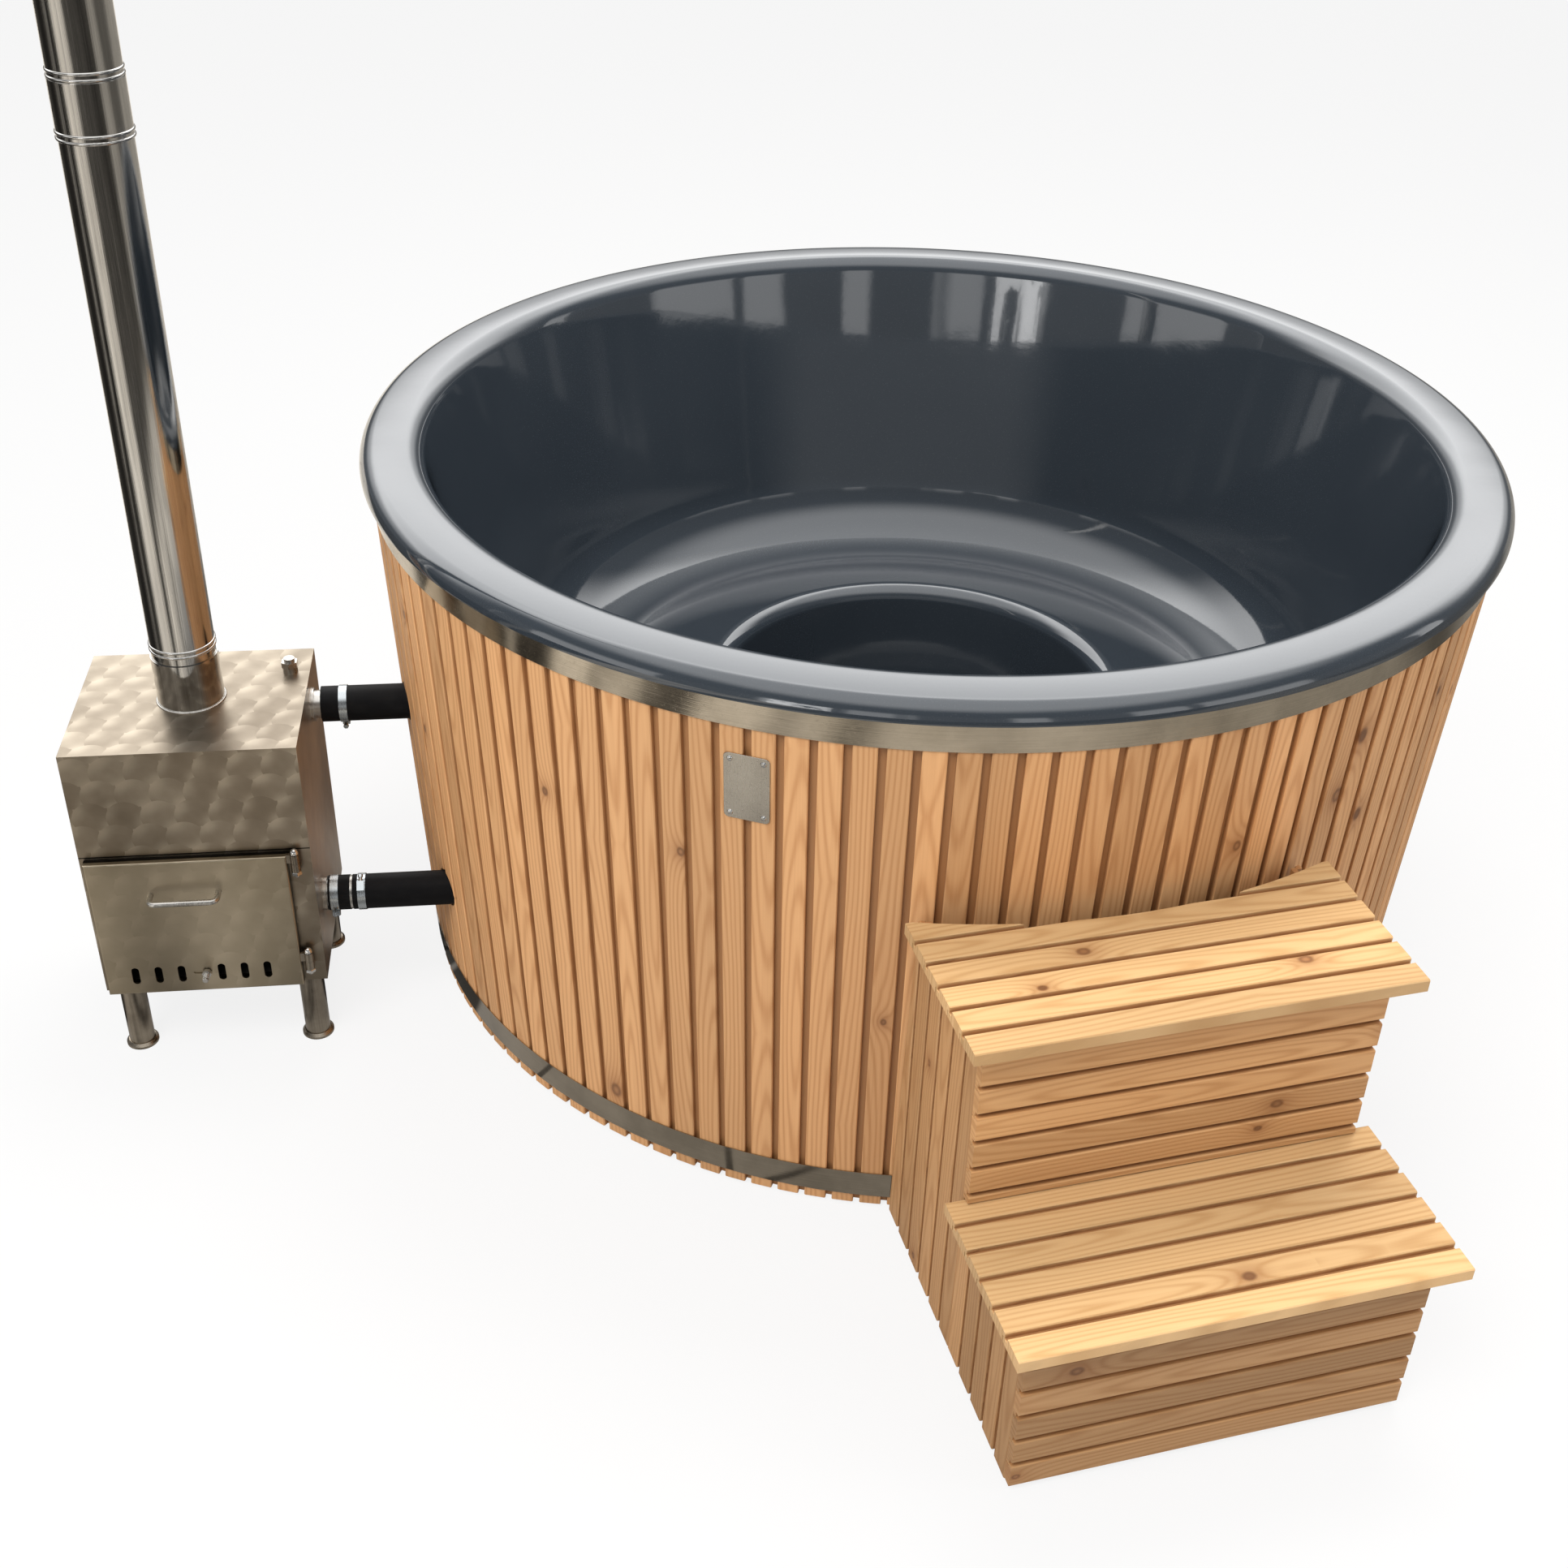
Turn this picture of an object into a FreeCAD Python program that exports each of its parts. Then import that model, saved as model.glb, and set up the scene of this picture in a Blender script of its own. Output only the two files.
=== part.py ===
import FreeCAD, Part
import math
import os

V = FreeCAD.Vector
AXIS_O = V(0, 0, 0)
X_DIR = V(1, 0, 0)
Z_DIR = V(0, 0, 1)

# Fits
SEAT = 0.3              # gap between pieces that are glued, welded or screwed together
RUN = 0.4               # gap between pieces that move against each other
END_GAP = 2.0           # left free at ends and edges that need no fit

# Liner, radii about the tub axis
RIM_R = 1000.0
RIM_TOP = 1005.0
RIM_SKIRT = 54.0
RIM_WIDTH = 106.0
RIM_OUTER_ROUND = 27.0
RIM_INNER_ROUND = 32.0
LINER_T = 8.0
SEAT_SET_IN = 138.0     # foot of the seat back, in from the rim
SEAT_BACK_Z = 386.0
SEAT_COVE = 150.0
SEAT_FRONT_Z = 484.0
SEAT_NOSE = 30.0
WELL_TOP_R = 363.0
WELL_TAPER = 28.0       # foot of the well, in from its top
WELL_COVE = 50.0

# Timber base and frame
BEARER_H = 60.0
BEARER_W = 90.0
BEARER_PITCH = 300.0
BEARER_COUNT = 5
BEARER_INSET = 12.0     # ends, in from the back of the boards
RING_H = 40.0
RING_W = 70.0
UPPER_RING_Z = 895.0
POST_W = 70.0
POST_D = 45.0
POST_R = 545.0          # on the middle bearer
POST_X = 350.0          # on the bearers beside it

# Cladding boards with an open groove between their faces
CLAD_SET_IN = 62.0      # foot of the boards, in from the rim
CLAD_SLOPE = 0.0475     # radius gained per unit of height
BOARD_COUNT = 128
BOARD_FACE = 35.5
BOARD_T = 18.0
BOARD_LIP = 9.0
BOARD_ENGAGE = 4.0
BOARD_EASE = 1.5
BOARD_BOTTOM = 6.0
BOARD_TOP = 945.0
BOARD_PHASE = 1.52      # degrees

# Hoops
HOOP_T = 1.5
UPPER_HOOP_Z = 905.0
UPPER_HOOP_H = 42.0
LOWER_HOOP_Z = 26.0
LOWER_HOOP_H = 52.0

# Drain in the foot well floor
DRAIN_X = 0.0
DRAIN_Y = 150.0
DRAIN_BORE_R = 20.0
DRAIN_NECK_R = 25.0
DRAIN_FLANGE_R = 42.0
DRAIN_FLANGE_T = 4.0
DRAIN_TAIL_Z = 14.0
DRAIN_TAIL_R = 22.5
DRAIN_TAIL_L = 28.0
PLUG_CAP_R = 28.0
PLUG_CAP_H = 6.0
PLUG_TAPER = 2.5
PLUG_FLARE = 3.0
PLUG_CROWN = 2.0
PLUG_NECK_H = 6.0
PLUG_GRIP_R = 8.96
PLUG_GRIP_H = 5.0
PLUG_TIP = 1.0

# Heater, front corner and outer size
HEATER_OUT = 109.0      # near side, out from the rim
HEATER_Y = -420.0
HEATER_W = 380.0
HEATER_D = 334.0
HEATER_Z = 145.0
HEATER_H = 485.0
SHEET = 3.0
LEG_R = 22.0
LEG_INSET = 34.0
FOOT_R = 28.0
FOOT_H = 9.0
FOOT_LIP = 1.5
JACKET = 32.0           # water space between casing and firebox walls
FIREBOX_BACK = 40.0
FIREBOX_H = 390.0
LEDGE_W = 12.0          # under the sides of the grate
LEDGE_BACK = 10.0
GRATE_UP = 62.0
GRATE_T = 8.0
GRATE_FRONT = 14.0
GRATE_BACK = 4.0
GRATE_EDGE = 20.0
GRATE_END = 16.0
GRATE_SLOTS = 11

# Door and air slide, measured from the left edge of the heater
DOOR_X = 8.0
DOOR_W = 333.0
DOOR_H = 277.0
DOOR_DEEP = 17.0
DOOR_T = 2.0
DOOR_GAP = 1.0
WINDOW_IN = 27.0        # door edge to fire opening
SLOT_W = 13.0
SLOT_H = 35.0
SLOT_PITCH = 39.0
SLOT_MIDDLE = 68.0      # between the two groups of three
SLOT_UP = 22.0
SLOT_SHIFT = -3.5       # from the middle of the door
SLIDE_T = 1.5
SLIDE_EDGE = 10.0
SLIDE_TRAVEL = 19.5
GUIDE_W = 5.0
GUIDE_LIP = 4.0
KNOB_OFFSET = 9.0
KNOB_STEM_R = 3.0
KNOB_R = 5.0
KNOB_NUT_R = 8.5
KNOB_NUT = 6.0
KNOB_OUT = 26.0
HANDLE_R = 5.0
HANDLE_MID = 166.0
HANDLE_BAR = 112.0
HANDLE_REACH = 29.0
HANDLE_UP = 212.0
HINGE_OUT = 14.0
HINGE_R = 8.0
HINGE_LEAF = 17.0
HINGE_PIN_R = 4.0
HINGE_TAB = 6.0
HINGE_LOW = 33.0
HINGE_HIGH = 244.0

# Flue, two equal lengths standing in a collar
FLUE_R = 53.0
FLUE_T = 1.0
FLUE_LENGTH = 1000.0
FLUE_SOCKET = 82.0
FLUE_BEAD_UP = 85.5
FLUE_BEAD = 2.0
FLUE_BEAD_W = 5.0
FLUE_BEAD_PITCH = 9.0
COLLAR_H = 88.0
COLLAR_LEDGE = 18.0
COLLAR_T = 2.0
COLLAR_STEP = 4.0
FLUE_X = 189.0
FLUE_Y = 179.0

# Water connections
NOZZLE_R = 25.0
NOZZLE_T = 3.0
NOZZLE_RING_R = 30.0
NOZZLE_RING = 6.0
UPPER_NOZZLE_Y = 226.0
UPPER_NOZZLE_Z = 578.0
UPPER_NOZZLE_L = 78.0
LOWER_NOZZLE_Y = 95.0
LOWER_NOZZLE_Z = 264.0
LOWER_NOZZLE_L = 40.0
HOSE_T = 6.0
HOSE_CLEAR = 18.0
CLAMP_W = 14.0
CLAMP_T = 1.2
CLAMP_IN = 16.0         # from a hose end
UPPER_CLAMP_IN = 38.0
SLEEVE_CLAMP_IN = 11.0
CLAMP_HOUSE = 9.0       # half length and height of the worm housing
CLAMP_SCREW_R = 3.2
CLAMP_SCREW_UP = 5.0
CLAMP_SCREW_OUT = 16.0
CLAMP_HEX_R = 4.6
CLAMP_HEX = 5.0
CLAMP_TURNS = [190.0, 150.0, 40.0, 180.0]
NIPPLE_L = 76.0
NIPPLE_BEAD = 4.0
NIPPLE_BEAD_IN = 1.0    # bead, in from the outside of the hose
SLEEVE_L = 38.0
HOSE_HOLE = 3.0
TAIL_L = 42.0
CAVITY_TAIL_IN = 98.0   # hose tail, in from the foot of the boards
SUCTION_PAST = 250.0    # bend of the pipe, past the bench posts
SUCTION_BEND = 120.0
FITTING_FLANGE_R = 46.0
FITTING_FLANGE_T = 6.0
FITTING_NUT_R = 44.0
FITTING_NUT_L = 16.0
SOCKET_L = 46.0
RETURN_REACH = 200.0     # from the tail to inside the bowl
SUCTION_REACH = 150.0
SUCTION_NUT_OUT = 70.0
VENT_X = 347.0
VENT_Y = 254.0
VENT_R = 13.0
VENT_H = 11.0
VENT_HEX = 15.0
VENT_NUT = 10.0
VENT_CAP = 6.0

# Steps, facing outward from the tub axis
STEP_YAW = 8.35         # degrees
STEP_W = 675.0
UPPER_TREAD_Z = 646.0
UPPER_TREAD_OUT = 246.0 # nosing, out from the rim
LOWER_TREAD_Z = 325.0
LOWER_TREAD_OUT = 243.0 # nosing, out from the upper one
TREAD_T = 20.0
TREAD_OVER_SIDE = 30.0
TREAD_OVER_FRONT = 38.0
TREAD_CLEAR = 8.0       # back of the upper tread, out from the rim
STEP_PITCH = 50.5
STEP_FACE = 41.5
STEP_SLACK = 3.0        # between a tongue and the rebate it lies in
STEP_BOTTOM = 6.0
RISER_TOP_FACE = 26.0
STEP_POST = 45.0
STEP_RAIL_W = 30.0
STEP_RAIL_H = 45.0
SCRIBE = 9.0            # from side boards to the cladding
UPPER_TREADS = 6
LOWER_TREADS = 6

# Levels and lines that follow from the sizes above
FLOOR_Z = BEARER_H + SEAT + LINER_T
WELL_FLOOR_R = WELL_TOP_R - WELL_TAPER
RIM_IN_R = RIM_R - RIM_WIDTH
SEAT_BACK_R = RIM_IN_R - SEAT_SET_IN
CLAD_BASE_R = RIM_R - CLAD_SET_IN
CAVITY_TAIL_X = CAVITY_TAIL_IN - CLAD_BASE_R
SUCTION_CORNER_X = -POST_X - SUCTION_PAST
UPPER_TREAD_D = RIM_R + UPPER_TREAD_OUT
LOWER_TREAD_D = UPPER_TREAD_D + LOWER_TREAD_OUT
TREAD_BACK_R = RIM_R + TREAD_CLEAR
HEATER_RIGHT = -RIM_R - HEATER_OUT
HEATER_X = HEATER_RIGHT - HEATER_W
HEATER_TOP = HEATER_Z + HEATER_H
DOOR_Z = HEATER_Z + SHEET
DOOR_FRONT = HEATER_Y - DOOR_GAP - DOOR_DEEP
SLOT_MID_X = HEATER_X + DOOR_X + DOOR_W / 2.0 + SLOT_SHIFT
HINGE_X = HEATER_X + DOOR_X + DOOR_W + HINGE_OUT
HINGE_Y = HEATER_Y - DOOR_GAP - DOOR_DEEP * 0.65
HOSE_R = NOZZLE_R + SEAT + HOSE_T
UPPER_HOSE_Y = HEATER_Y + UPPER_NOZZLE_Y
LOWER_HOSE_Y = HEATER_Y + LOWER_NOZZLE_Y


def clad_r(z):
    return CLAD_BASE_R + CLAD_SLOPE * z


def box(x0, y0, z0, x1, y1, z1):
    return Part.makeBox(x1 - x0, y1 - y0, z1 - z0, V(x0, y0, z0))


def rod(r, start, end):
    span = end.sub(start)
    return Part.makeCylinder(r, span.Length, start, span)


def tube(r_out, r_in, start, end):
    return rod(r_out, start, end).cut(rod(r_in, start, end))


def prism(points, depth):
    wire = Part.makePolygon(points + [points[0]])
    return Part.Face(wire).extrude(depth)


def hexagon(r, start, end):
    span = end.sub(start)
    side = span.cross(Z_DIR if abs(span.z) < 0.5 * span.Length else X_DIR)
    side.normalize()
    other = span.cross(side)
    other.normalize()
    corners = []
    for i in range(6):
        a = math.radians(60.0 * i)
        corners.append(start + side * (r * math.cos(a)) + other * (r * math.sin(a)))
    return prism(corners, span)


def revolve(edges):
    face = Part.Face(Part.Wire(Part.__sortEdges__(edges)))
    return face.revolve(AXIS_O, Z_DIR, 360)


def ring_section(points):
    corners = [V(r, 0, z) for r, z in points]
    return revolve(Part.makePolygon(corners + [corners[0]]).Edges)


def rounded_path(points, radii):
    """Lines through r, z points with each inner corner rounded."""
    edges = []
    start = V(points[0][0], 0, points[0][1])
    for i in range(1, len(points) - 1):
        corner = V(points[i][0], 0, points[i][1])
        back = V(points[i - 1][0], 0, points[i - 1][1]).sub(corner).normalize()
        ahead = V(points[i + 1][0], 0, points[i + 1][1]).sub(corner).normalize()
        half = back.getAngle(ahead) / 2.0
        reach = radii[i - 1] / math.tan(half)
        into = corner + back * reach
        out = corner + ahead * reach
        bisector = back.add(ahead).normalize()
        middle = corner + bisector * (radii[i - 1] / math.sin(half) - radii[i - 1])
        edges.append(Part.makeLine(start, into))
        edges.append(Part.Arc(into, middle, out).toShape())
        start = out
    edges.append(Part.makeLine(start, V(points[-1][0], 0, points[-1][1])))
    return edges


def shifted_path(points, radii, k):
    """The same path moved k to its left, the side where the laminate lies."""
    dirs = []
    for a, b in zip(points, points[1:]):
        n = math.hypot(b[0] - a[0], b[1] - a[1])
        dirs.append(((b[0] - a[0]) / n, (b[1] - a[1]) / n))
    moved = [(points[0][0] - dirs[0][1] * k, points[0][1] + dirs[0][0] * k)]
    new_radii = []
    for i in range(1, len(points) - 1):
        (ax, az), (bx, bz) = dirs[i - 1], dirs[i]
        turn = ax * bz - az * bx
        dot = ax * bx + az * bz
        scale = k / (1.0 + dot)
        moved.append((points[i][0] - (az + bz) * scale, points[i][1] + (ax + bx) * scale))
        new_radii.append(radii[i - 1] - k if turn > 0 else radii[i - 1] + k)
    moved.append((points[-1][0] - dirs[-1][1] * k, points[-1][1] + dirs[-1][0] * k))
    return moved, new_radii


BOWL_POINTS = [(SEAT_BACK_R, SEAT_BACK_Z), (WELL_TOP_R, SEAT_FRONT_Z),
               (WELL_FLOOR_R, FLOOR_Z), (0.0, FLOOR_Z)]
BOWL_RADII = [SEAT_COVE, SEAT_NOSE, WELL_COVE]


def wall_r(z):
    """Radius of the inner face of the straight wall."""
    lean = (RIM_IN_R - SEAT_BACK_R) / (RIM_TOP - SEAT_BACK_Z)
    return RIM_IN_R - (RIM_TOP - z) * lean


def wall_out_r(z):
    lean = math.atan2(RIM_IN_R - SEAT_BACK_R, RIM_TOP - SEAT_BACK_Z)
    return wall_r(z) + LINER_T / math.cos(lean)


def bowl_space(k):
    """Everything inside the bowl faces moved outward by k, up past the rim."""
    top = RIM_TOP + RIM_SKIRT
    points, radii = shifted_path([(wall_r(top), top)] + BOWL_POINTS, BOWL_RADII, k)
    edges = rounded_path(points, radii)
    last = edges[-1].Vertexes[-1].Point
    first = edges[0].Vertexes[0].Point
    edges.append(Part.makeLine(last, V(0, 0, first.z)))
    edges.append(Part.makeLine(V(0, 0, first.z), first))
    return revolve(edges)


def liner_shell():
    points = [(RIM_R, RIM_TOP - RIM_SKIRT), (RIM_R, RIM_TOP), (RIM_IN_R, RIM_TOP)] + BOWL_POINTS
    radii = [RIM_OUTER_ROUND, RIM_INNER_ROUND] + BOWL_RADII
    face = rounded_path(points, radii)
    back = rounded_path(*shifted_path(points, radii, LINER_T))
    ends = [Part.makeLine(face[0].Vertexes[0].Point, back[0].Vertexes[0].Point),
            Part.makeLine(face[-1].Vertexes[-1].Point, back[-1].Vertexes[-1].Point)]
    shell = revolve(face + back + ends)
    shell = shell.cut(rod(NOZZLE_R + SEAT, RETURN_TAIL, RETURN_TAIL + X_DIR * RETURN_REACH))
    shell = shell.cut(rod(SUCTION_NECK_R + SEAT, SUCTION_TAIL, SUCTION_TAIL + SUCTION_IN * SUCTION_REACH))
    drain = V(DRAIN_X, DRAIN_Y, 0)
    return shell.cut(rod(DRAIN_NECK_R + SEAT, drain, drain + Z_DIR * 2.0 * FLOOR_Z))


def board_section(face, tongue, rebate, thick, drop=0.0):
    """Points across a board: u over the face, v down from the face."""
    e = BOARD_EASE
    under = BOARD_LIP + SEAT + drop
    pts = [(e, 0), (face - e, 0), (face, e)]
    if tongue > 0:
        pts += [(face, under), (face + tongue, under), (face + tongue, thick)]
    else:
        pts += [(face, thick)]
    if rebate > 0:
        pts += [(rebate, thick), (rebate, BOARD_LIP), (0, BOARD_LIP)]
    else:
        pts += [(0, thick)]
    return pts + [(0, e)]


def cladding_boards():
    """Leaning boards, each tongue lying behind the lip of the next; those the hoses pass are apart."""
    top_gap = 2 * math.pi * clad_r(BOARD_TOP) / BOARD_COUNT - BOARD_FACE
    low_gap = 2 * math.pi * clad_r(BOARD_BOTTOM) / BOARD_COUNT - BOARD_FACE
    tongue = top_gap + BOARD_ENGAGE
    rebate = BOARD_ENGAGE + (top_gap - low_gap) + END_GAP
    r0 = clad_r(BOARD_BOTTOM)
    turn = 2 * math.pi / BOARD_COUNT
    drop = (BOARD_FACE / 2.0 + tongue) * math.sin(turn) - r0 * (1.0 - math.cos(turn))
    section = board_section(BOARD_FACE, tongue, rebate, BOARD_T, drop)
    corners = [V(r0 - v, u - BOARD_FACE / 2.0, BOARD_BOTTOM) for u, v in section]
    height = BOARD_TOP - BOARD_BOTTOM
    master = prism(corners, V(CLAD_SLOPE * height, 0, height))
    holes = [rod(HOSE_R + HOSE_HOLE, V(HEATER_RIGHT, y, z), V(CAVITY_TAIL_X, y, z))
             for y, z in ((UPPER_HOSE_Y, UPPER_NOZZLE_Z), (LOWER_HOSE_Y, LOWER_NOZZLE_Z))]
    plain, drilled = [], []
    for i in range(BOARD_COUNT):
        board = master.copy()
        board.rotate(AXIS_O, Z_DIR, BOARD_PHASE + 360.0 * i / BOARD_COUNT)
        bored = board.cut(holes)
        if len(bored.Faces) > len(board.Faces):
            drilled += bored.Solids
        else:
            plain.append(board)
    return plain, drilled


def hoop(z, height):
    corner = BOARD_FACE ** 2 / (8.0 * CLAD_BASE_R)
    low = clad_r(z) + corner + SEAT
    high = clad_r(z + height) + corner + SEAT
    return ring_section([(low, z), (low + HOOP_T, z), (high + HOOP_T, z + height), (high, z + height)])


def upper_frame_ring():
    z0, z1 = UPPER_RING_Z, UPPER_RING_Z + RING_H
    back = BOARD_T + SEAT
    return ring_section([(wall_out_r(z0) + SEAT, z0), (clad_r(z0) - back, z0),
                         (clad_r(z1) - back, z1), (wall_out_r(z1) + SEAT, z1)])


def lower_frame_ring():
    z0, z1 = BEARER_H, BEARER_H + RING_H
    back = BOARD_T + SEAT
    inner = clad_r(z0) - back - RING_W
    return ring_section([(inner, z0), (clad_r(z0) - back, z0), (clad_r(z1) - back, z1), (inner, z1)])


def base_bearers():
    reach = clad_r(0) - BOARD_T - BEARER_INSET
    bars = []
    for i in range(BEARER_COUNT):
        y = (i - (BEARER_COUNT - 1) / 2.0) * BEARER_PITCH
        far = abs(y) + BEARER_W / 2.0
        half = math.sqrt(reach ** 2 - far ** 2)
        bars.append(box(-half, y - BEARER_W / 2.0, 0, half, y + BEARER_W / 2.0, BEARER_H))
    return bars


def seat_posts():
    """Props on the bearers, cut to the slope under the bench."""
    space = bowl_space(LINER_T + SEAT)
    spots = [(side * POST_R, 0.0) for side in (-1, 1)]
    spots += [(side * POST_X, row * BEARER_PITCH) for side in (-1, 1) for row in (-1, 1)]
    spots += [(0.0, row * 2.0 * BEARER_PITCH) for row in (-1, 1)]
    posts = []
    for x, y in spots:
        corner = V(x - POST_D / 2.0, y - POST_W / 2.0, BEARER_H)
        post = Part.makeBox(POST_D, POST_W, SEAT_FRONT_Z - BEARER_H, corner)
        posts += post.cut(space).Solids
    return posts


def wall_fitting(tail, inward, reach, neck_r, bore_r):
    """Flange shaped to the bowl wall, with a neck out to the tail."""
    end = tail + inward * reach
    inside = bowl_space(-SEAT)
    flange = rod(FITTING_FLANGE_R, tail, end).common(inside)
    body = rod(neck_r, tail, end).fuse(flange)
    body = body.cut(bowl_space(-SEAT - FITTING_FLANGE_T))
    return body.cut(rod(bore_r, tail, end)).removeSplitter()


def wall_nut(start, inward, neck_r):
    end = start + inward * 4.0 * FITTING_NUT_L
    nut = hexagon(FITTING_NUT_R, start, end).cut(rod(neck_r + SEAT, start, end))
    return nut.cut(bowl_space(LINER_T + SEAT))


def suction_fitting():
    body = wall_fitting(SUCTION_TAIL, SUCTION_IN, SUCTION_REACH, SUCTION_NECK_R, NOZZLE_R - NOZZLE_T)
    socket = rod(NOZZLE_R + SEAT, SUCTION_TAIL, SUCTION_TAIL + SUCTION_IN * SOCKET_L)
    return body.cut(socket)


def suction_pipe():
    """Runs in from the hose, then bends to meet the foot well square."""
    corner = V(SUCTION_CORNER_X, LOWER_HOSE_Y, LOWER_NOZZLE_Z)
    start = V(CAVITY_TAIL_X, LOWER_HOSE_Y, LOWER_NOZZLE_Z)
    end = SUCTION_TAIL + SUCTION_IN * (SOCKET_L - END_GAP / 2.0)
    back = start.sub(corner).normalize()
    ahead = end.sub(corner).normalize()
    half = back.getAngle(ahead) / 2.0
    reach = SUCTION_BEND / math.tan(half)
    middle = corner + back.add(ahead).normalize() * (SUCTION_BEND / math.sin(half) - SUCTION_BEND)
    path = Part.Wire([Part.makeLine(start, corner + back * reach),
                      Part.Arc(corner + back * reach, middle, corner + ahead * reach).toShape(),
                      Part.makeLine(corner + ahead * reach, end)])
    skins = []
    for r in (NOZZLE_R, NOZZLE_R - NOZZLE_T):
        ring = Part.Wire([Part.makeCircle(r, start, X_DIR)])
        skins.append(path.makePipeShell([ring], True, False))
    return skins[0].cut(skins[1])


def drain_pieces():
    foot = V(DRAIN_X, DRAIN_Y, 0)
    top = FLOOR_Z + SEAT + DRAIN_FLANGE_T
    tail = foot + Z_DIR * DRAIN_TAIL_Z
    neck = tail + Z_DIR * DRAIN_TAIL_L
    fitting = rod(DRAIN_NECK_R, neck, foot + Z_DIR * top).fuse(rod(DRAIN_TAIL_R, tail, neck))
    fitting = fitting.fuse(rod(DRAIN_FLANGE_R, foot + Z_DIR * (FLOOR_Z + SEAT), foot + Z_DIR * top))
    fitting = fitting.cut(rod(DRAIN_BORE_R, tail, foot + Z_DIR * top)).removeSplitter()
    under = FLOOR_Z - LINER_T - SEAT
    nut = hexagon(DRAIN_FLANGE_R, foot + Z_DIR * (under - FITTING_NUT_L), foot + Z_DIR * under)
    nut = nut.cut(rod(DRAIN_NECK_R + SEAT, foot, foot + Z_DIR * under))
    r = DRAIN_BORE_R - RUN
    neck_r = PLUG_GRIP_R * 0.6
    low = FLOOR_Z - LINER_T
    cap = top + PLUG_CAP_H
    crown = cap + PLUG_CROWN
    flare = crown + PLUG_NECK_H
    grip = flare + PLUG_FLARE
    tip = grip + PLUG_GRIP_H
    plug = ring_section([(0, low), (r - PLUG_TAPER, low), (r, FLOOR_Z), (r, top + SEAT),
                         (PLUG_CAP_R, top + SEAT), (PLUG_CAP_R - PLUG_FLARE, cap),
                         (neck_r, crown), (neck_r, flare),
                         (PLUG_GRIP_R, grip), (PLUG_GRIP_R, tip), (0, tip + PLUG_TIP)])
    plug.translate(foot)
    return fitting, nut, plug


def heater_casing():
    """Outer jacket, open at the front where the front plate closes it."""
    y0, y1 = HEATER_Y + SHEET, HEATER_Y + HEATER_D
    jacket = box(HEATER_X, y0, HEATER_Z, HEATER_RIGHT, y1, HEATER_TOP)
    hollow = box(HEATER_X + SHEET, y0, HEATER_Z + SHEET, HEATER_RIGHT - SHEET, y1 - SHEET, HEATER_TOP - SHEET)
    jacket = jacket.cut(hollow)
    jacket = jacket.cut(rod(COLLAR_R + SEAT, FLUE_AT - Z_DIR * 2.0 * SHEET, FLUE_AT + Z_DIR))
    for y, z in ((UPPER_HOSE_Y, UPPER_NOZZLE_Z), (LOWER_HOSE_Y, LOWER_NOZZLE_Z)):
        side = V(HEATER_RIGHT, y, z)
        jacket = jacket.cut(rod(NOZZLE_R + SEAT, side - X_DIR * 2.0 * SHEET, side + X_DIR))
    vent = V(HEATER_X + VENT_X, HEATER_Y + VENT_Y, HEATER_TOP)
    return jacket.cut(rod(VENT_R * 0.6, vent - Z_DIR * 2.0 * SHEET, vent + Z_DIR))


def fire_opening(y0, y1):
    return box(HEATER_X + DOOR_X + WINDOW_IN, y0, DOOR_Z + WINDOW_IN * 0.65,
               HEATER_X + DOOR_X + DOOR_W - WINDOW_IN, y1, DOOR_Z + DOOR_H - WINDOW_IN * 0.65)


def heater_front_plate():
    y0, y1 = HEATER_Y, HEATER_Y + SHEET
    plate = box(HEATER_X, y0, HEATER_Z, HEATER_RIGHT, y1, HEATER_TOP)
    return plate.cut(fire_opening(y0, y1))


def firebox():
    """Inner fire chamber with ledges for the grate and the flue outlet."""
    gap = fire_opening(0, 1).BoundBox
    x0, x1, z0 = gap.XMin, gap.XMax, gap.ZMin
    y0, y1 = HEATER_Y + SHEET, HEATER_Y + HEATER_D - FIREBOX_BACK
    z1 = z0 + FIREBOX_H - JACKET
    chamber = box(x0 - SHEET, y0, z0 - SHEET, x1 + SHEET, y1 + SHEET, z1 + SHEET)
    chamber = chamber.cut(box(x0, y0, z0, x1, y1, z1))
    ledge_z = HEATER_Z + GRATE_UP
    for a, b in ((x0, x0 + LEDGE_W), (x1 - LEDGE_W, x1)):
        chamber = chamber.fuse(box(a, y0 + LEDGE_BACK, ledge_z - SHEET, b, y1, ledge_z))
    outlet = V(FLUE_AT.x, FLUE_AT.y, z1)
    outlet_r = COLLAR_R - COLLAR_T - COLLAR_STEP
    chamber = chamber.cut(rod(outlet_r, outlet - Z_DIR, outlet + Z_DIR * 2.0 * SHEET))
    return chamber.removeSplitter(), z1 + SHEET


def fire_grate():
    gap = fire_opening(0, 1).BoundBox
    z0 = HEATER_Z + GRATE_UP
    x0, x1 = gap.XMin + END_GAP, gap.XMax - END_GAP
    y0, y1 = HEATER_Y + SHEET + GRATE_FRONT, HEATER_Y + HEATER_D - FIREBOX_BACK - GRATE_BACK
    plate = box(x0, y0, z0, x1, y1, z0 + GRATE_T)
    pitch = (x1 - x0 - 2.0 * GRATE_EDGE) / GRATE_SLOTS
    for i in range(GRATE_SLOTS):
        a = x0 + GRATE_EDGE + (i + 0.25) * pitch
        plate = plate.cut(box(a, y0 + GRATE_END, z0, a + pitch * 0.5, y1 - GRATE_END, z0 + GRATE_T))
    return plate


def heater_corners():
    xs = (HEATER_X + LEG_INSET, HEATER_RIGHT - LEG_INSET)
    ys = (HEATER_Y + LEG_INSET, HEATER_Y + HEATER_D - LEG_INSET)
    return [(x, y) for x in xs for y in ys]


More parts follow.
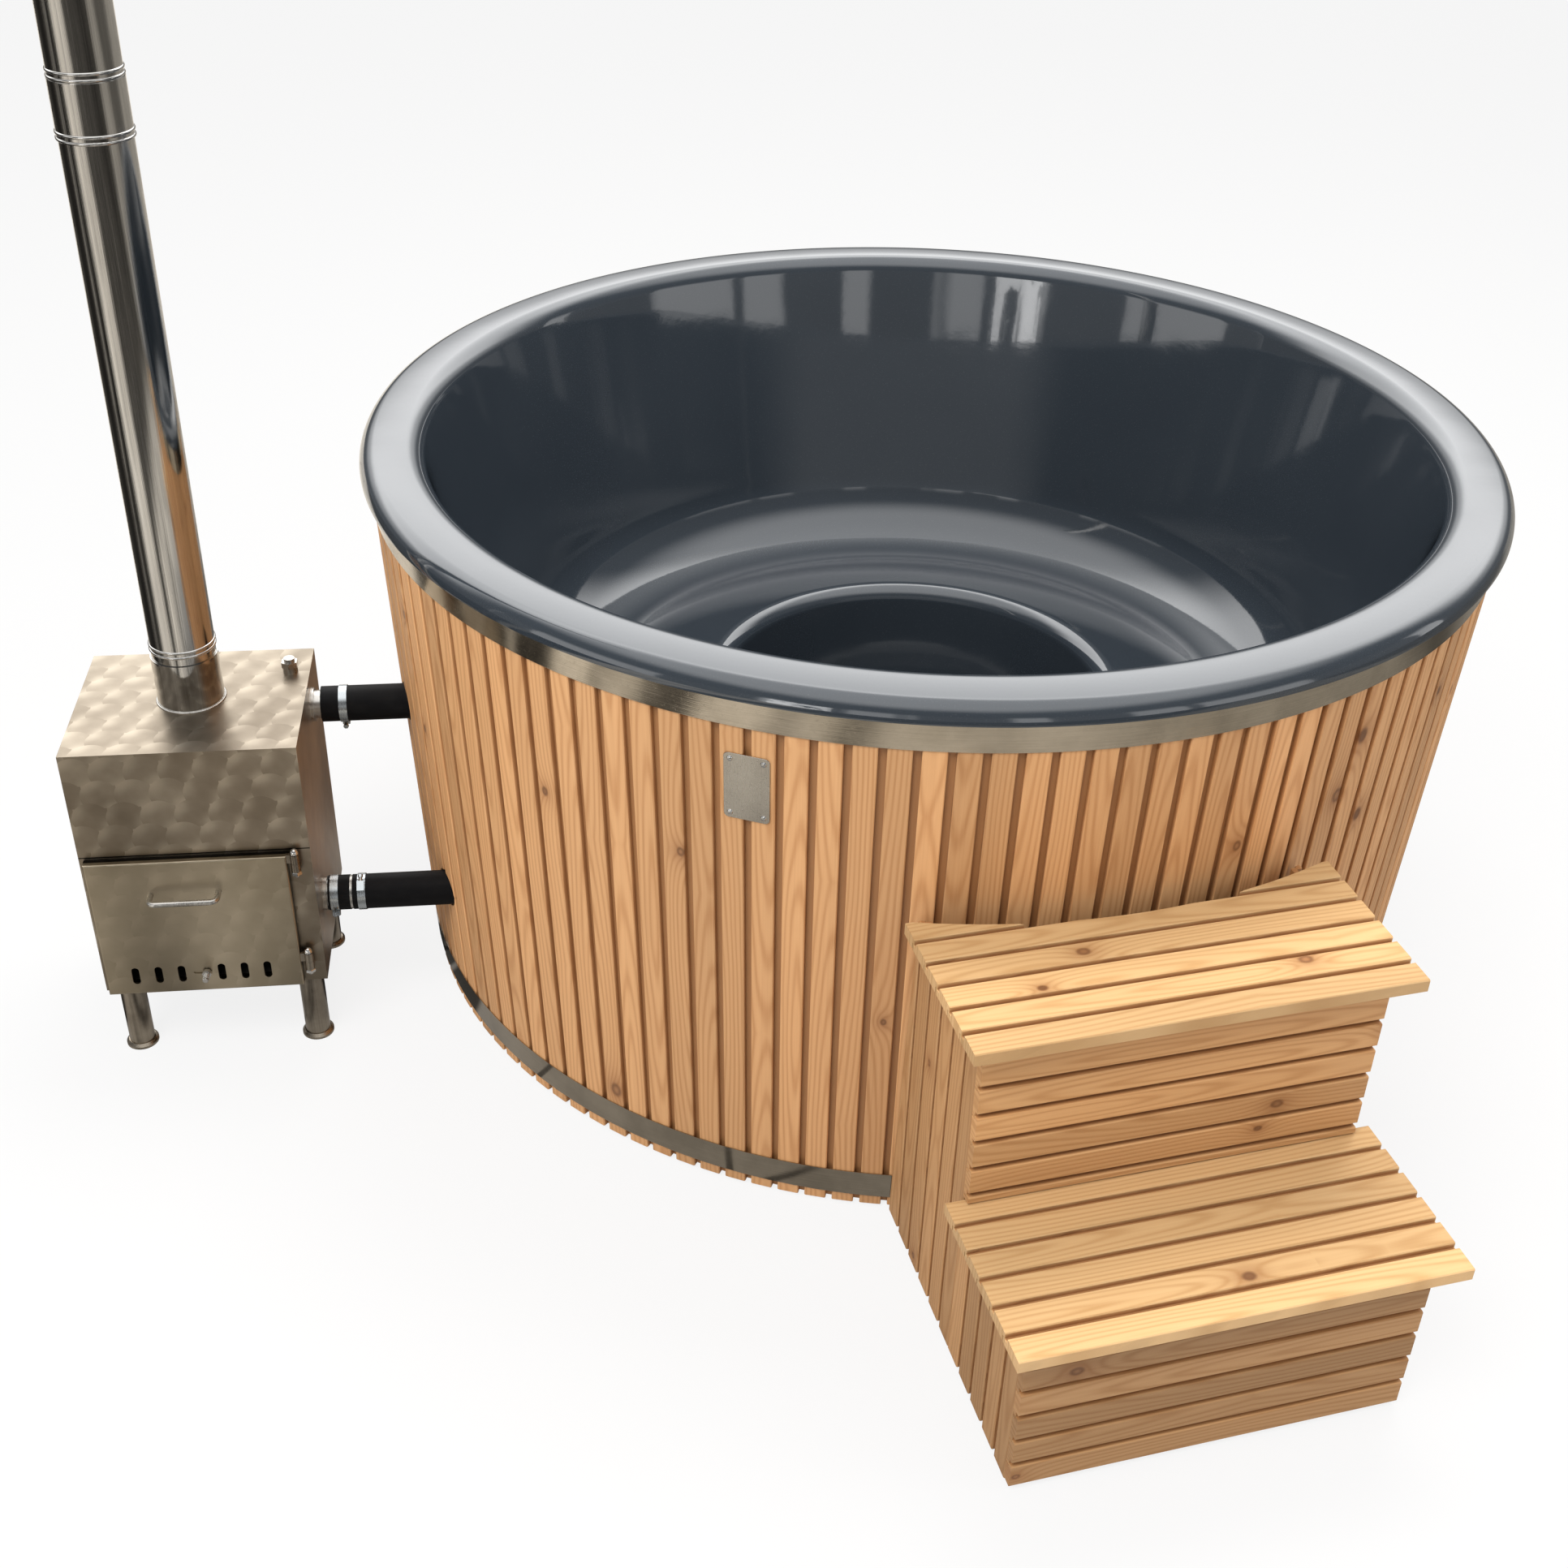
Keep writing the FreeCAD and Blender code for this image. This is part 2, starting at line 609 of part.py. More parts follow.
def heater_legs():
    return [rod(LEG_R, V(x, y, FOOT_H), V(x, y, HEATER_Z)) for x, y in heater_corners()]


def leg_feet():
    foot = ring_section([(0, 0), (FOOT_R, 0), (FOOT_R, FOOT_H * 0.5),
                         (LEG_R + FOOT_LIP, FOOT_H), (0, FOOT_H)])
    feet = []
    for x, y in heater_corners():
        pad = foot.copy()
        pad.translate(V(x, y, 0))
        feet.append(pad)
    return feet


def flue_collar(base_z):
    """Neck from the firebox roof up through the casing, with a ledge for the pipe."""
    top = HEATER_TOP + COLLAR_H
    ledge = HEATER_TOP + COLLAR_LEDGE
    inner = COLLAR_R - COLLAR_T - COLLAR_STEP
    neck = ring_section([(inner, base_z), (COLLAR_R, base_z), (COLLAR_R, top), (COLLAR_R - COLLAR_T, top),
                         (COLLAR_R - COLLAR_T, ledge), (inner, ledge)])
    neck.translate(V(FLUE_AT.x, FLUE_AT.y, 0))
    return neck


def flue_pipe(z):
    """One length: plain foot, paired stop beads, and a socket with paired beads at its foot."""
    r, t = FLUE_R, FLUE_T
    wide = r + SEAT + t
    step = FLUE_LENGTH - FLUE_SOCKET
    beads = [(FLUE_BEAD_UP, r, r), (FLUE_BEAD_UP + FLUE_BEAD_PITCH, r, r),
             (step, r, wide), (step + FLUE_BEAD_PITCH, wide, wide)]
    edges = []
    last = V(r, 0, 0)
    for middle, below, above in beads:
        start = V(below, 0, middle - FLUE_BEAD_W / 2.0)
        end = V(above, 0, middle + FLUE_BEAD_W / 2.0)
        edges.append(Part.makeLine(last, start))
        edges.append(Part.Arc(start, V(above + FLUE_BEAD, 0, middle), end).toShape())
        last = end
    rest = [(wide, FLUE_LENGTH), (wide - t, FLUE_LENGTH), (wide - t, step), (r - t, step), (r - t, 0), (r, 0)]
    edges += Part.makePolygon([last] + [V(a, 0, b) for a, b in rest]).Edges
    pipe = revolve(edges)
    pipe.translate(V(FLUE_AT.x, FLUE_AT.y, z))
    return pipe


def nozzle(y, z, length):
    face = V(HEATER_RIGHT, y, z)
    back = face - X_DIR * SHEET * 2.0
    body = rod(NOZZLE_R, back, face + X_DIR * length)
    body = body.fuse(rod(NOZZLE_RING_R, face, face + X_DIR * NOZZLE_RING))
    return body.cut(rod(NOZZLE_R - NOZZLE_T, back, face + X_DIR * length)).removeSplitter()


def hose(x0, x1, y, z):
    return tube(HOSE_R, NOZZLE_R + SEAT, V(x0, y, z), V(x1, y, z))


def hose_clamp(x, y, z, turn):
    """Band round a hose along X, with a worm housing and its screw."""
    inner = HOSE_R + SEAT
    band = tube(inner + CLAMP_T, inner, V(-CLAMP_W / 2.0, 0, 0), V(CLAMP_W / 2.0, 0, 0))
    low = inner + CLAMP_T * 0.5
    house = box(-CLAMP_W * 0.45, -CLAMP_HOUSE, low, CLAMP_W * 0.45, CLAMP_HOUSE, low + CLAMP_HOUSE)
    house = house.cut(rod(inner, V(-CLAMP_W, 0, 0), V(CLAMP_W, 0, 0)))
    line = low + CLAMP_SCREW_UP
    neck = V(0, CLAMP_SCREW_OUT, line)
    screw = rod(CLAMP_SCREW_R, V(0, -CLAMP_HOUSE, line), neck)
    head = hexagon(CLAMP_HEX_R, neck, V(0, CLAMP_SCREW_OUT + CLAMP_HEX, line))
    clamp = band.fuse([house, screw, head]).removeSplitter()
    clamp.rotate(AXIS_O, X_DIR, turn)
    clamp.translate(V(x, y, z))
    return clamp


def lower_nipple(x0, y, z):
    """Short pipe with a rolled bead between the sleeve and the hose."""
    start = V(x0, y, z)
    end = start + X_DIR * NIPPLE_L
    bead = start + X_DIR * (LOWER_BEAD_X - x0)
    body = rod(NOZZLE_R, start, end).fuse(rod(HOSE_R - NIPPLE_BEAD_IN, bead, bead + X_DIR * NIPPLE_BEAD))
    return body.cut(rod(NOZZLE_R - NOZZLE_T, start, end)).removeSplitter()


def vent_pieces():
    foot = V(HEATER_X + VENT_X, HEATER_Y + VENT_Y, HEATER_TOP)
    top = foot + Z_DIR * VENT_H
    socket = tube(VENT_R, VENT_R * 0.6, foot, top)
    nut = top + Z_DIR * VENT_NUT
    cap = hexagon(VENT_HEX, top, nut).fuse(rod(VENT_HEX * 0.62, nut, nut + Z_DIR * VENT_CAP))
    stem = rod(VENT_R * 0.6 - SEAT, foot + Z_DIR * END_GAP, top)
    return socket, cap.fuse(stem).removeSplitter()


def slot_centres():
    near = SLOT_MIDDLE / 2.0
    offs = [near + i * SLOT_PITCH for i in range(3)]
    return [SLOT_MID_X + s * o for o in offs for s in (-1, 1)]


def air_slots(y0, y1):
    """Upright slots with round ends."""
    r = SLOT_W / 2.0
    low = DOOR_Z + SLOT_UP + r
    high = low + SLOT_H - SLOT_W
    slots = []
    for x in slot_centres():
        middle = box(x - r, y0, low, x + r, y1, high)
        ends = [rod(r, V(x, y0, z), V(x, y1, z)) for z in (low, high)]
        slots.append(middle.fuse(ends).removeSplitter())
    return slots


def knob_line():
    return SLOT_MID_X + KNOB_OFFSET, DOOR_Z + SLOT_UP + SLOT_H * 0.55


def heater_door():
    """Folded tray with air slots and a slot for the slide's stem."""
    x0, x1 = HEATER_X + DOOR_X, HEATER_X + DOOR_X + DOOR_W
    z0, z1 = DOOR_Z, DOOR_Z + DOOR_H
    y0, y1 = DOOR_FRONT, DOOR_FRONT + DOOR_DEEP
    tray = box(x0, y0, z0, x1, y1, z1)
    front_edges = [e for e in tray.Edges if abs(e.BoundBox.YMax - y0) < 0.01]
    tray = tray.makeFillet(DOOR_T * 1.5, front_edges)
    tray = tray.cut(box(x0 + DOOR_T, y0 + DOOR_T, z0 + DOOR_T, x1 - DOOR_T, y1, z1 - DOOR_T))
    for slot in air_slots(y0, y0 + DOOR_T):
        tray = tray.cut(slot)
    x, z = knob_line()
    r = KNOB_STEM_R + RUN
    left = V(x - SLIDE_TRAVEL, y0, z)
    through = V(0, DOOR_T, 0)
    tray = tray.cut(rod(r, V(x, y0, z), V(x, y0, z) + through))
    tray = tray.cut(rod(r, left, left + through))
    return tray.cut(box(left.x, y0, z - r, x, y0 + DOOR_T, z + r))


def slide_levels():
    z0 = DOOR_Z + SLOT_UP - SLIDE_EDGE
    return z0, z0 + SLOT_H + 2.0 * SLIDE_EDGE


def air_slide():
    """Slotted plate behind the door face."""
    xs = slot_centres()
    edge = SLOT_PITCH * 0.5 + SLOT_W * 0.5
    y0 = DOOR_FRONT + DOOR_T + RUN
    z0, z1 = slide_levels()
    plate = box(min(xs) - edge, y0, z0, max(xs) + edge, y0 + SLIDE_T, z1)
    for slot in air_slots(y0, y0 + SLIDE_T):
        plate = plate.cut(slot)
    return plate


def air_slide_knob():
    """Stud with a nut, on a stem that stands on the slide plate."""
    x, z = knob_line()
    back = V(x, DOOR_FRONT + DOOR_T + RUN, z)
    neck = V(x, DOOR_FRONT - END_GAP, z)
    nut = V(x, neck.y - KNOB_NUT, z)
    tip = V(x, DOOR_FRONT - KNOB_OUT, z)
    stud = rod(KNOB_R, neck, tip)
    stud = stud.makeChamfer(KNOB_R * 0.2, [e for e in stud.Edges if abs(e.BoundBox.YMax - tip.y) < 0.01])
    stem = rod(KNOB_STEM_R, back, neck)
    return stud.fuse([stem, hexagon(KNOB_NUT_R, neck, nut)]).removeSplitter()


def air_slide_guides():
    """Two rebated strips that hold the slide to the door."""
    z0, z1 = slide_levels()
    y0 = DOOR_FRONT + DOOR_T
    lip = y0 + 2.0 * RUN + SLIDE_T
    x0 = HEATER_X + DOOR_X + 2.0 * DOOR_T
    x1 = HEATER_X + DOOR_X + DOOR_W - 2.0 * DOOR_T
    length = V(x1 - x0, 0, 0)
    strips = []
    for edge, s in ((z1, 1), (z0, -1)):
        far, near = edge + s * GUIDE_W, edge - s * GUIDE_LIP
        profile = [(y0, edge + s * RUN), (y0, far), (lip + SLIDE_T, far),
                   (lip + SLIDE_T, near), (lip, near), (lip, edge + s * RUN)]
        strips.append(prism([V(x0, y, z) for y, z in profile], length))
    return strips


def door_handle():
    """Bow of round bar with its ends square to the door."""
    z = DOOR_Z + HANDLE_UP
    left = HEATER_X + HANDLE_MID - HANDLE_BAR / 2.0
    right = left + HANDLE_BAR
    front = DOOR_FRONT - HANDLE_REACH
    bend = HANDLE_R * 2.2
    part = bend * (1.0 - math.sqrt(0.5))
    root = V(left, DOOR_FRONT, z)
    left_bend = [V(left, front + bend, z), V(left + part, front + part, z), V(left + bend, front, z)]
    right_bend = [V(right - bend, front, z), V(right - part, front + part, z), V(right, front + bend, z)]
    path = Part.Wire([Part.makeLine(root, left_bend[0]), Part.Arc(*left_bend).toShape(),
                      Part.makeLine(left_bend[2], right_bend[0]), Part.Arc(*right_bend).toShape(),
                      Part.makeLine(right_bend[2], V(right, DOOR_FRONT, z))])
    ring = Part.Wire([Part.makeCircle(HANDLE_R, root, V(0, -1, 0))])
    return path.makePipeShell([ring], True, False)


def hinge_levels():
    return [DOOR_Z + HINGE_LOW, DOOR_Z + HINGE_HIGH]


def hinge_brackets():
    """Lower barrels, on lugs standing off the front plate."""
    barrels = []
    for z in hinge_levels():
        foot = V(HINGE_X, HINGE_Y, z)
        top = foot + Z_DIR * HINGE_LEAF
        lug = box(HINGE_X - HINGE_R * 0.6, HINGE_Y, z, HINGE_X + HINGE_R * 0.6, HEATER_Y, top.z)
        barrel = rod(HINGE_R, foot, top).fuse(lug)
        barrels.append(barrel.cut(rod(HINGE_PIN_R + SEAT, foot, top)).removeSplitter())
    return barrels


def hinge_pins():
    pins = []
    for z in hinge_levels():
        foot = V(HINGE_X, HINGE_Y, z)
        pins.append(rod(HINGE_PIN_R, foot, foot + Z_DIR * (2.0 * HINGE_LEAF + RUN)))
    return pins


def door_hinge_knuckles():
    """Upper barrels, on tabs from the door's side fold."""
    barrels = []
    for z in hinge_levels():
        foot = V(HINGE_X, HINGE_Y, z + HINGE_LEAF + RUN)
        top = foot + Z_DIR * HINGE_LEAF
        half = HINGE_TAB / 2.0
        tab = box(HINGE_X - HINGE_OUT, HINGE_Y - half, foot.z, HINGE_X, HINGE_Y + half, top.z)
        barrel = rod(HINGE_R, foot, top).fuse(tab)
        barrels.append(barrel.cut(rod(HINGE_PIN_R + RUN, foot, top)).removeSplitter())
    return barrels


STEP_TONGUE = STEP_PITCH - STEP_FACE + BOARD_ENGAGE
STEP_REBATE = BOARD_ENGAGE + STEP_SLACK
STEP_HALF = STEP_W / 2.0
SIDE_FACE = STEP_HALF - TREAD_OVER_SIDE


def turned(shapes):
    """Swings pieces drawn square to the steps onto their bearing."""
    for shape in shapes:
        shape.rotate(AXIS_O, Z_DIR, STEP_YAW)
    return shapes


def tread_boards(front, top, count):
    """Boards across a tread, from the nosing back, scribed round the tub."""
    back = Part.makeCylinder(TREAD_BACK_R, top + TREAD_T)
    boards = []
    for i in range(count):
        tongue = STEP_TONGUE if i < count - 1 else 0
        section = board_section(STEP_FACE, tongue, STEP_REBATE if i else 0, TREAD_T)
        edge = front - i * STEP_PITCH
        corners = [V(-STEP_HALF, u - edge, top - v) for u, v in section]
        boards += prism(corners, V(STEP_W, 0, 0)).cut(back).Solids
    return turned(boards)


def riser_boards(face, top, bottom, first):
    """Boards down a riser, from under the nosing, the last ripped to fit."""
    gap = STEP_PITCH - STEP_FACE
    least = STEP_REBATE + BOARD_EASE
    boards = []
    edge, height = top, first
    while height > least:
        below = min(STEP_FACE, edge - height - gap - bottom)
        tongue = STEP_TONGUE if below > least else 0
        section = board_section(height, tongue, STEP_REBATE if boards else 0, BOARD_T)
        corners = [V(-SIDE_FACE, v - face, edge - u) for u, v in section]
        boards.append(prism(corners, V(2.0 * SIDE_FACE, 0, 0)))
        edge, height = edge - height - gap, below
    return turned(boards)


def clad_space(k):
    """The leaning outside of the cladding, moved outward by k."""
    top = BOARD_TOP
    return ring_section([(0, 0), (clad_r(0) + k, 0), (clad_r(top) + k, top), (0, top)])


def step_lines():
    """Outward distances of the backs of the two risers."""
    return UPPER_TREAD_D - TREAD_OVER_FRONT - BOARD_T, LOWER_TREAD_D - TREAD_OVER_FRONT - BOARD_T


def side_boards(side):
    """Upright boards, low under the lower tread, tall under the upper, scribed to the tub."""
    tub = clad_space(SCRIBE)
    upper, lower = step_lines()
    rear = math.sqrt((clad_r(0) + SCRIBE) ** 2 - SIDE_FACE ** 2)
    boards = []
    for front, back, tread in ((lower - SEAT, upper, LOWER_TREAD_Z), (upper - SEAT, rear, UPPER_TREAD_Z)):
        count = math.ceil((front - back) / STEP_PITCH)
        for i in range(count):
            edge = front - i * STEP_PITCH
            face = min(STEP_FACE, edge - back)
            tongue = STEP_TONGUE if i < count - 1 else 0
            section = board_section(face, tongue, STEP_REBATE if i else 0, BOARD_T)
            corners = [V(side * (SIDE_FACE - v), u - edge, STEP_BOTTOM) for u, v in section]
            boards += prism(corners, V(0, 0, tread - TREAD_T - STEP_BOTTOM)).cut(tub).Solids
    return turned(boards)


def step_posts():
    upper, lower = step_lines()
    outer = SIDE_FACE - BOARD_T - SEAT
    rear = TREAD_BACK_R + STEP_POST * 0.2
    spots = [(rear, UPPER_TREAD_Z), (upper - SEAT, UPPER_TREAD_Z), (lower - SEAT, LOWER_TREAD_Z)]
    posts = []
    for d, z in spots:
        for side in (-1, 1):
            x0, x1 = sorted((side * outer, side * (outer - STEP_POST)))
            posts.append(box(x0, -d, 0, x1, -d + STEP_POST, z - TREAD_T))
    return turned(posts)


def step_rails():
    """Bearers under each tread, fixed to the inner faces of the posts."""
    upper, lower = step_lines()
    outer = SIDE_FACE - BOARD_T - SEAT - STEP_POST
    rear = TREAD_BACK_R - STEP_POST * 0.8
    rails = []
    spans = [(rear, upper - SEAT, UPPER_TREAD_Z), (upper - STEP_POST, lower - SEAT, LOWER_TREAD_Z)]
    for near, far, z in spans:
        for side in (-1, 1):
            x0, x1 = sorted((side * outer, side * (outer - STEP_RAIL_W)))
            top = z - TREAD_T
            rails.append(box(x0, -far, top - STEP_RAIL_H, x1, -near, top))
    return turned(rails)


FLUE_AT = V(HEATER_X + FLUE_X, HEATER_Y + FLUE_Y, HEATER_TOP)
COLLAR_R = FLUE_R + SEAT + COLLAR_T
RETURN_WALL = math.sqrt(wall_out_r(UPPER_NOZZLE_Z) ** 2 - UPPER_HOSE_Y ** 2)
RETURN_NUT = V(-RETURN_WALL - FITTING_NUT_L * 1.6, UPPER_HOSE_Y, UPPER_NOZZLE_Z)
UPPER_HOSE_END = RETURN_NUT.x - END_GAP
RETURN_TAIL = V(UPPER_HOSE_END - TAIL_L, UPPER_HOSE_Y, UPPER_NOZZLE_Z)
SUCTION_NECK_R = NOZZLE_R + SEAT + HOSE_T
SUCTION_IN = V(-SUCTION_CORNER_X, -LOWER_HOSE_Y, 0).normalize()
SUCTION_TAIL = V(0, 0, LOWER_NOZZLE_Z) - SUCTION_IN * (WELL_TOP_R + SUCTION_NUT_OUT)
LOWER_SLEEVE_X = HEATER_RIGHT + NOZZLE_RING + END_GAP
LOWER_BEAD_X = LOWER_SLEEVE_X + SLEEVE_L + SEAT
LOWER_HOSE_X = LOWER_BEAD_X + NIPPLE_BEAD + SEAT
UPPER_HOSE_X = HEATER_RIGHT + HOSE_CLEAR
NIPPLE_X = HEATER_RIGHT + LOWER_NOZZLE_L + END_GAP / 2.0
LOWER_HOSE_END = CAVITY_TAIL_X + TAIL_L

plain_boards, drilled_boards = cladding_boards()
drain_fitting, drain_nut, drain_plug = drain_pieces()
vent_socket, vent_plug = vent_pieces()
fire_chamber, firebox_top = firebox()
flue_low = HEATER_TOP + COLLAR_LEDGE
upper_line = (UPPER_HOSE_Y, UPPER_NOZZLE_Z)
lower_line = (LOWER_HOSE_Y, LOWER_NOZZLE_Z)
suction_nut_at = V(0, 0, LOWER_NOZZLE_Z) - SUCTION_IN * (WELL_TOP_R + LINER_T + FITTING_NUT_L)

nodes = {
    "liner_shell": [liner_shell()],
    "cladding_boards": plain_boards,
    "drilled_boards": drilled_boards,
    "upper_hoop": [hoop(UPPER_HOOP_Z, UPPER_HOOP_H)],
    "lower_hoop": [hoop(LOWER_HOOP_Z, LOWER_HOOP_H)],
    "base_bearers": base_bearers(),
    "lower_frame_ring": [lower_frame_ring()],
    "upper_frame_ring": [upper_frame_ring()],
    "seat_posts": seat_posts(),
    "drain_fitting": [drain_fitting],
    "drain_nut": [drain_nut],
    "drain_plug": [drain_plug],
    "return_fitting": [wall_fitting(RETURN_TAIL, X_DIR, RETURN_REACH, NOZZLE_R, NOZZLE_R - NOZZLE_T)],
    "return_nut": [wall_nut(RETURN_NUT, X_DIR, NOZZLE_R)],
    "suction_fitting": [suction_fitting()],
    "suction_nut": [wall_nut(suction_nut_at, SUCTION_IN, SUCTION_NECK_R)],
    "suction_pipe": [suction_pipe()],
    "heater_casing": [heater_casing()],
    "heater_front_plate": [heater_front_plate()],
    "firebox": [fire_chamber],
    "fire_grate": [fire_grate()],
    "heater_legs": heater_legs(),
    "leg_feet": leg_feet(),
    "flue_collar": [flue_collar(firebox_top)],
    "lower_flue_pipe": [flue_pipe(flue_low)],
    "upper_flue_pipe": [flue_pipe(flue_low + FLUE_LENGTH - FLUE_SOCKET)],
    "vent_socket": [vent_socket],
    "vent_plug": [vent_plug],
    "upper_nozzle": [nozzle(*upper_line, UPPER_NOZZLE_L)],
    "lower_nozzle": [nozzle(*lower_line, LOWER_NOZZLE_L)],
    "lower_sleeve": [hose(LOWER_SLEEVE_X, LOWER_SLEEVE_X + SLEEVE_L, *lower_line)],
    "lower_nipple": [lower_nipple(NIPPLE_X, *lower_line)],
    "upper_hose": [hose(UPPER_HOSE_X, UPPER_HOSE_END, *upper_line)],
    "lower_hose": [hose(LOWER_HOSE_X, LOWER_HOSE_END, *lower_line)],
    "upper_hose_clamp": [hose_clamp(UPPER_HOSE_X + UPPER_CLAMP_IN, *upper_line, CLAMP_TURNS[0])],
    "lower_sleeve_clamp": [hose_clamp(LOWER_SLEEVE_X + SLEEVE_CLAMP_IN, *lower_line, CLAMP_TURNS[1])],
    "lower_hose_clamp": [hose_clamp(LOWER_HOSE_X + CLAMP_IN, *lower_line, CLAMP_TURNS[2])],
    "upper_tail_clamp": [hose_clamp(UPPER_HOSE_END - CLAMP_IN, *upper_line, CLAMP_TURNS[3])],
    "lower_tail_clamp": [hose_clamp(LOWER_HOSE_END - CLAMP_IN, *lower_line, CLAMP_TURNS[3])],
    "hinge_brackets": hinge_brackets(),
    "hinge_pins": hinge_pins(),
    "heater_door": [heater_door()],
    "door_hinge_knuckles": door_hinge_knuckles(),
    "door_handle": [door_handle()],
    "air_slide_guides": air_slide_guides(),
    "air_slide": [air_slide()],
    "air_slide_knob": [air_slide_knob()],
    "upper_tread_boards": tread_boards(UPPER_TREAD_D, UPPER_TREAD_Z, UPPER_TREADS),
    "lower_tread_boards": tread_boards(LOWER_TREAD_D, LOWER_TREAD_Z, LOWER_TREADS),
    "upper_riser_boards": riser_boards(UPPER_TREAD_D - TREAD_OVER_FRONT, UPPER_TREAD_Z - TREAD_T,
                                       LOWER_TREAD_Z + END_GAP, RISER_TOP_FACE),
    "lower_riser_boards": riser_boards(LOWER_TREAD_D - TREAD_OVER_FRONT, LOWER_TREAD_Z - TREAD_T,
                                       STEP_BOTTOM, STEP_FACE),
    "left_side_boards": side_boards(-1),
    "right_side_boards": side_boards(1),
    "step_posts": step_posts(),
    "step_rails": step_rails(),
}

os.makedirs("parts", exist_ok=True)
for name, solids in nodes.items():
    shape = solids[0] if len(solids) == 1 else Part.makeCompound(solids)
    for solid in shape.Solids:
        if not solid.isValid() or solid.Volume <= 0:
            print("bad solid in", name)
    shape.exportStep("parts/" + name + ".step")
    print(name, len(shape.Solids), round(shape.Volume / 1000.0, 1), "cm3")
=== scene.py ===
import math

import bpy
from mathutils import Matrix, Vector


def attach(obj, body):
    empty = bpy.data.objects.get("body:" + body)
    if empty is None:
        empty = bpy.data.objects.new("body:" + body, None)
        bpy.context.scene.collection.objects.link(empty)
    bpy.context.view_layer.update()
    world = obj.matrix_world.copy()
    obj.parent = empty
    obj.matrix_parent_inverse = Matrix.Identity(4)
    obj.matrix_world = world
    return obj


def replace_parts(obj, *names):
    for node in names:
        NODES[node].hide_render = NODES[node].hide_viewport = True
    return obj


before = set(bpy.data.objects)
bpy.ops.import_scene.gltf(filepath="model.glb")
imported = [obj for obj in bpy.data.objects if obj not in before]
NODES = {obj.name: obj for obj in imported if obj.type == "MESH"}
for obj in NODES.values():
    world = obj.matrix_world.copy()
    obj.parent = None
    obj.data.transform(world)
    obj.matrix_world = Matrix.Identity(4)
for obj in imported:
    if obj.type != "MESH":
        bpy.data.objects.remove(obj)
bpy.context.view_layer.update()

# Sizes of the object, in metres
LINER_T = 0.008
RIM_MIDDLE, RIM_CROWN = 0.940, 1.25  # radius of the crest, and how steeply it falls away
CROWN_FROM, CROWN_OVER = 0.955, 0.03  # the crown fades in over this height
# Radius, height and rounding of each corner, from the lower edge of the rim to the floor of the foot well
LINER_CORNERS = [(1.000, 0.976, 0.0), (1.000, 1.005, 0.027), (0.894, 1.005, 0.032), (0.756, 0.386, 0.150),
                 (0.363, 0.484, 0.030), (0.335, 0.0683, 0.050), (0.260, 0.0683, 0.0)]
LINER_STEP, FINE_TURNS = 0.012, 384
DRAIN_Y, DRAIN_HOLE, FITTING_HOLE = 0.150, 0.0253, 0.032
HOOP_LOW, HOOP_HIGH, HOOP_T, HOOP_CLEAR = 0.9215, 0.9720, 0.0015, 0.0005
SUCTION_WAY = Vector((0.600, 0.325, 0.0)).normalized()
CLAD_R, CLAD_SLOPE = 0.938, 0.0475
BOARDS, BOARD_PHASE, BOARD_WIDTH, BOARD_EDGE = 128, 1.52, 0.0475, 0.374
STEP_YAW = math.radians(8.35)
STEP_PITCH, STEP_HALF, STEP_MIDDLE, STEP_EDGE = 0.0505, 0.3375, 0.41, 0.0012
UPPER_FRONT, UPPER_TOP, LOWER_FRONT, LOWER_TOP = 1.246, 0.646, 1.489, 0.325
OVER_FRONT, BOARD_T = 0.038, 0.018
SIDE_FACE, UPPER_SIDE_FRONT, LOWER_SIDE_FRONT = 0.3075, 1.1897, 1.4327
UPPER_RISER_TOP, LOWER_RISER_TOP = 0.591, 0.305
HEATER_TOP = 0.630
DOOR_FOLD = (-0.4290, -0.4275)
SEAM_Z, SEAM_Y = 0.4292, -0.4165
HINGE_X, HINGE_Y, HINGE_BARREL, HINGE_FEET = -1.134, -0.43205, 0.0352, (0.181, 0.392)
STUD_X, STUD_Z, STUD_FIRST, STUD_PITCH, STUD_CRESTS = -1.3090, 0.18925, -0.438 - 0.0105, 0.0016, 8
PLATE_Z, PLATE_BOARD, PLATE_LIFT = 0.8195, 86.5, 0.0003
PLATE_W, PLATE_H, PLATE_ROUND = 0.035, 0.0565, 0.0075  # half sizes
PLATE_LEVELS = [(0.0, 0.0), (0.0, 0.0010), (-0.0004, 0.0014)]  # growth of the outline, and height
SCREW_U, SCREW_V = 0.0255, 0.047
FLUE_X, FLUE_Y = -1.300, -0.241
UPPER_HOSE = (-0.194, 0.578)
LOWER_HOSE = (-0.325, 0.264)
BETWEEN_HOSES = 0.42

# Looks
KNOT_CELL, RING_PITCH = 0.46, 0.0074
HEART_WANDER, BOW_LENGTH = 0.062, 1.05
FACING = 0.6  # part of a normal that makes a sheet a side or a top
DISC_PITCH, DISC_ROW, DISC_LEAN, DISC_R = 0.055, 0.80, 0.37, 0.585
CLAMP_SLOTS = 20.0
SLAB, JOINT, YARD = 0.42, 0.03, 30
CAMERA_AT = (-0.6627, -3.1211, 2.3031)
CAMERA_YAW, CAMERA_PITCH, CAMERA_ROLL, CAMERA_LENS = 0.1332, 0.5803, 0.0292, 43.535
LAMP_TINT = (1.0, 0.98, 0.95)
SMOOTH, SOFT = 35.0, 60.0  # degrees below which an edge is shaded round
UP = (0, 0, 1)


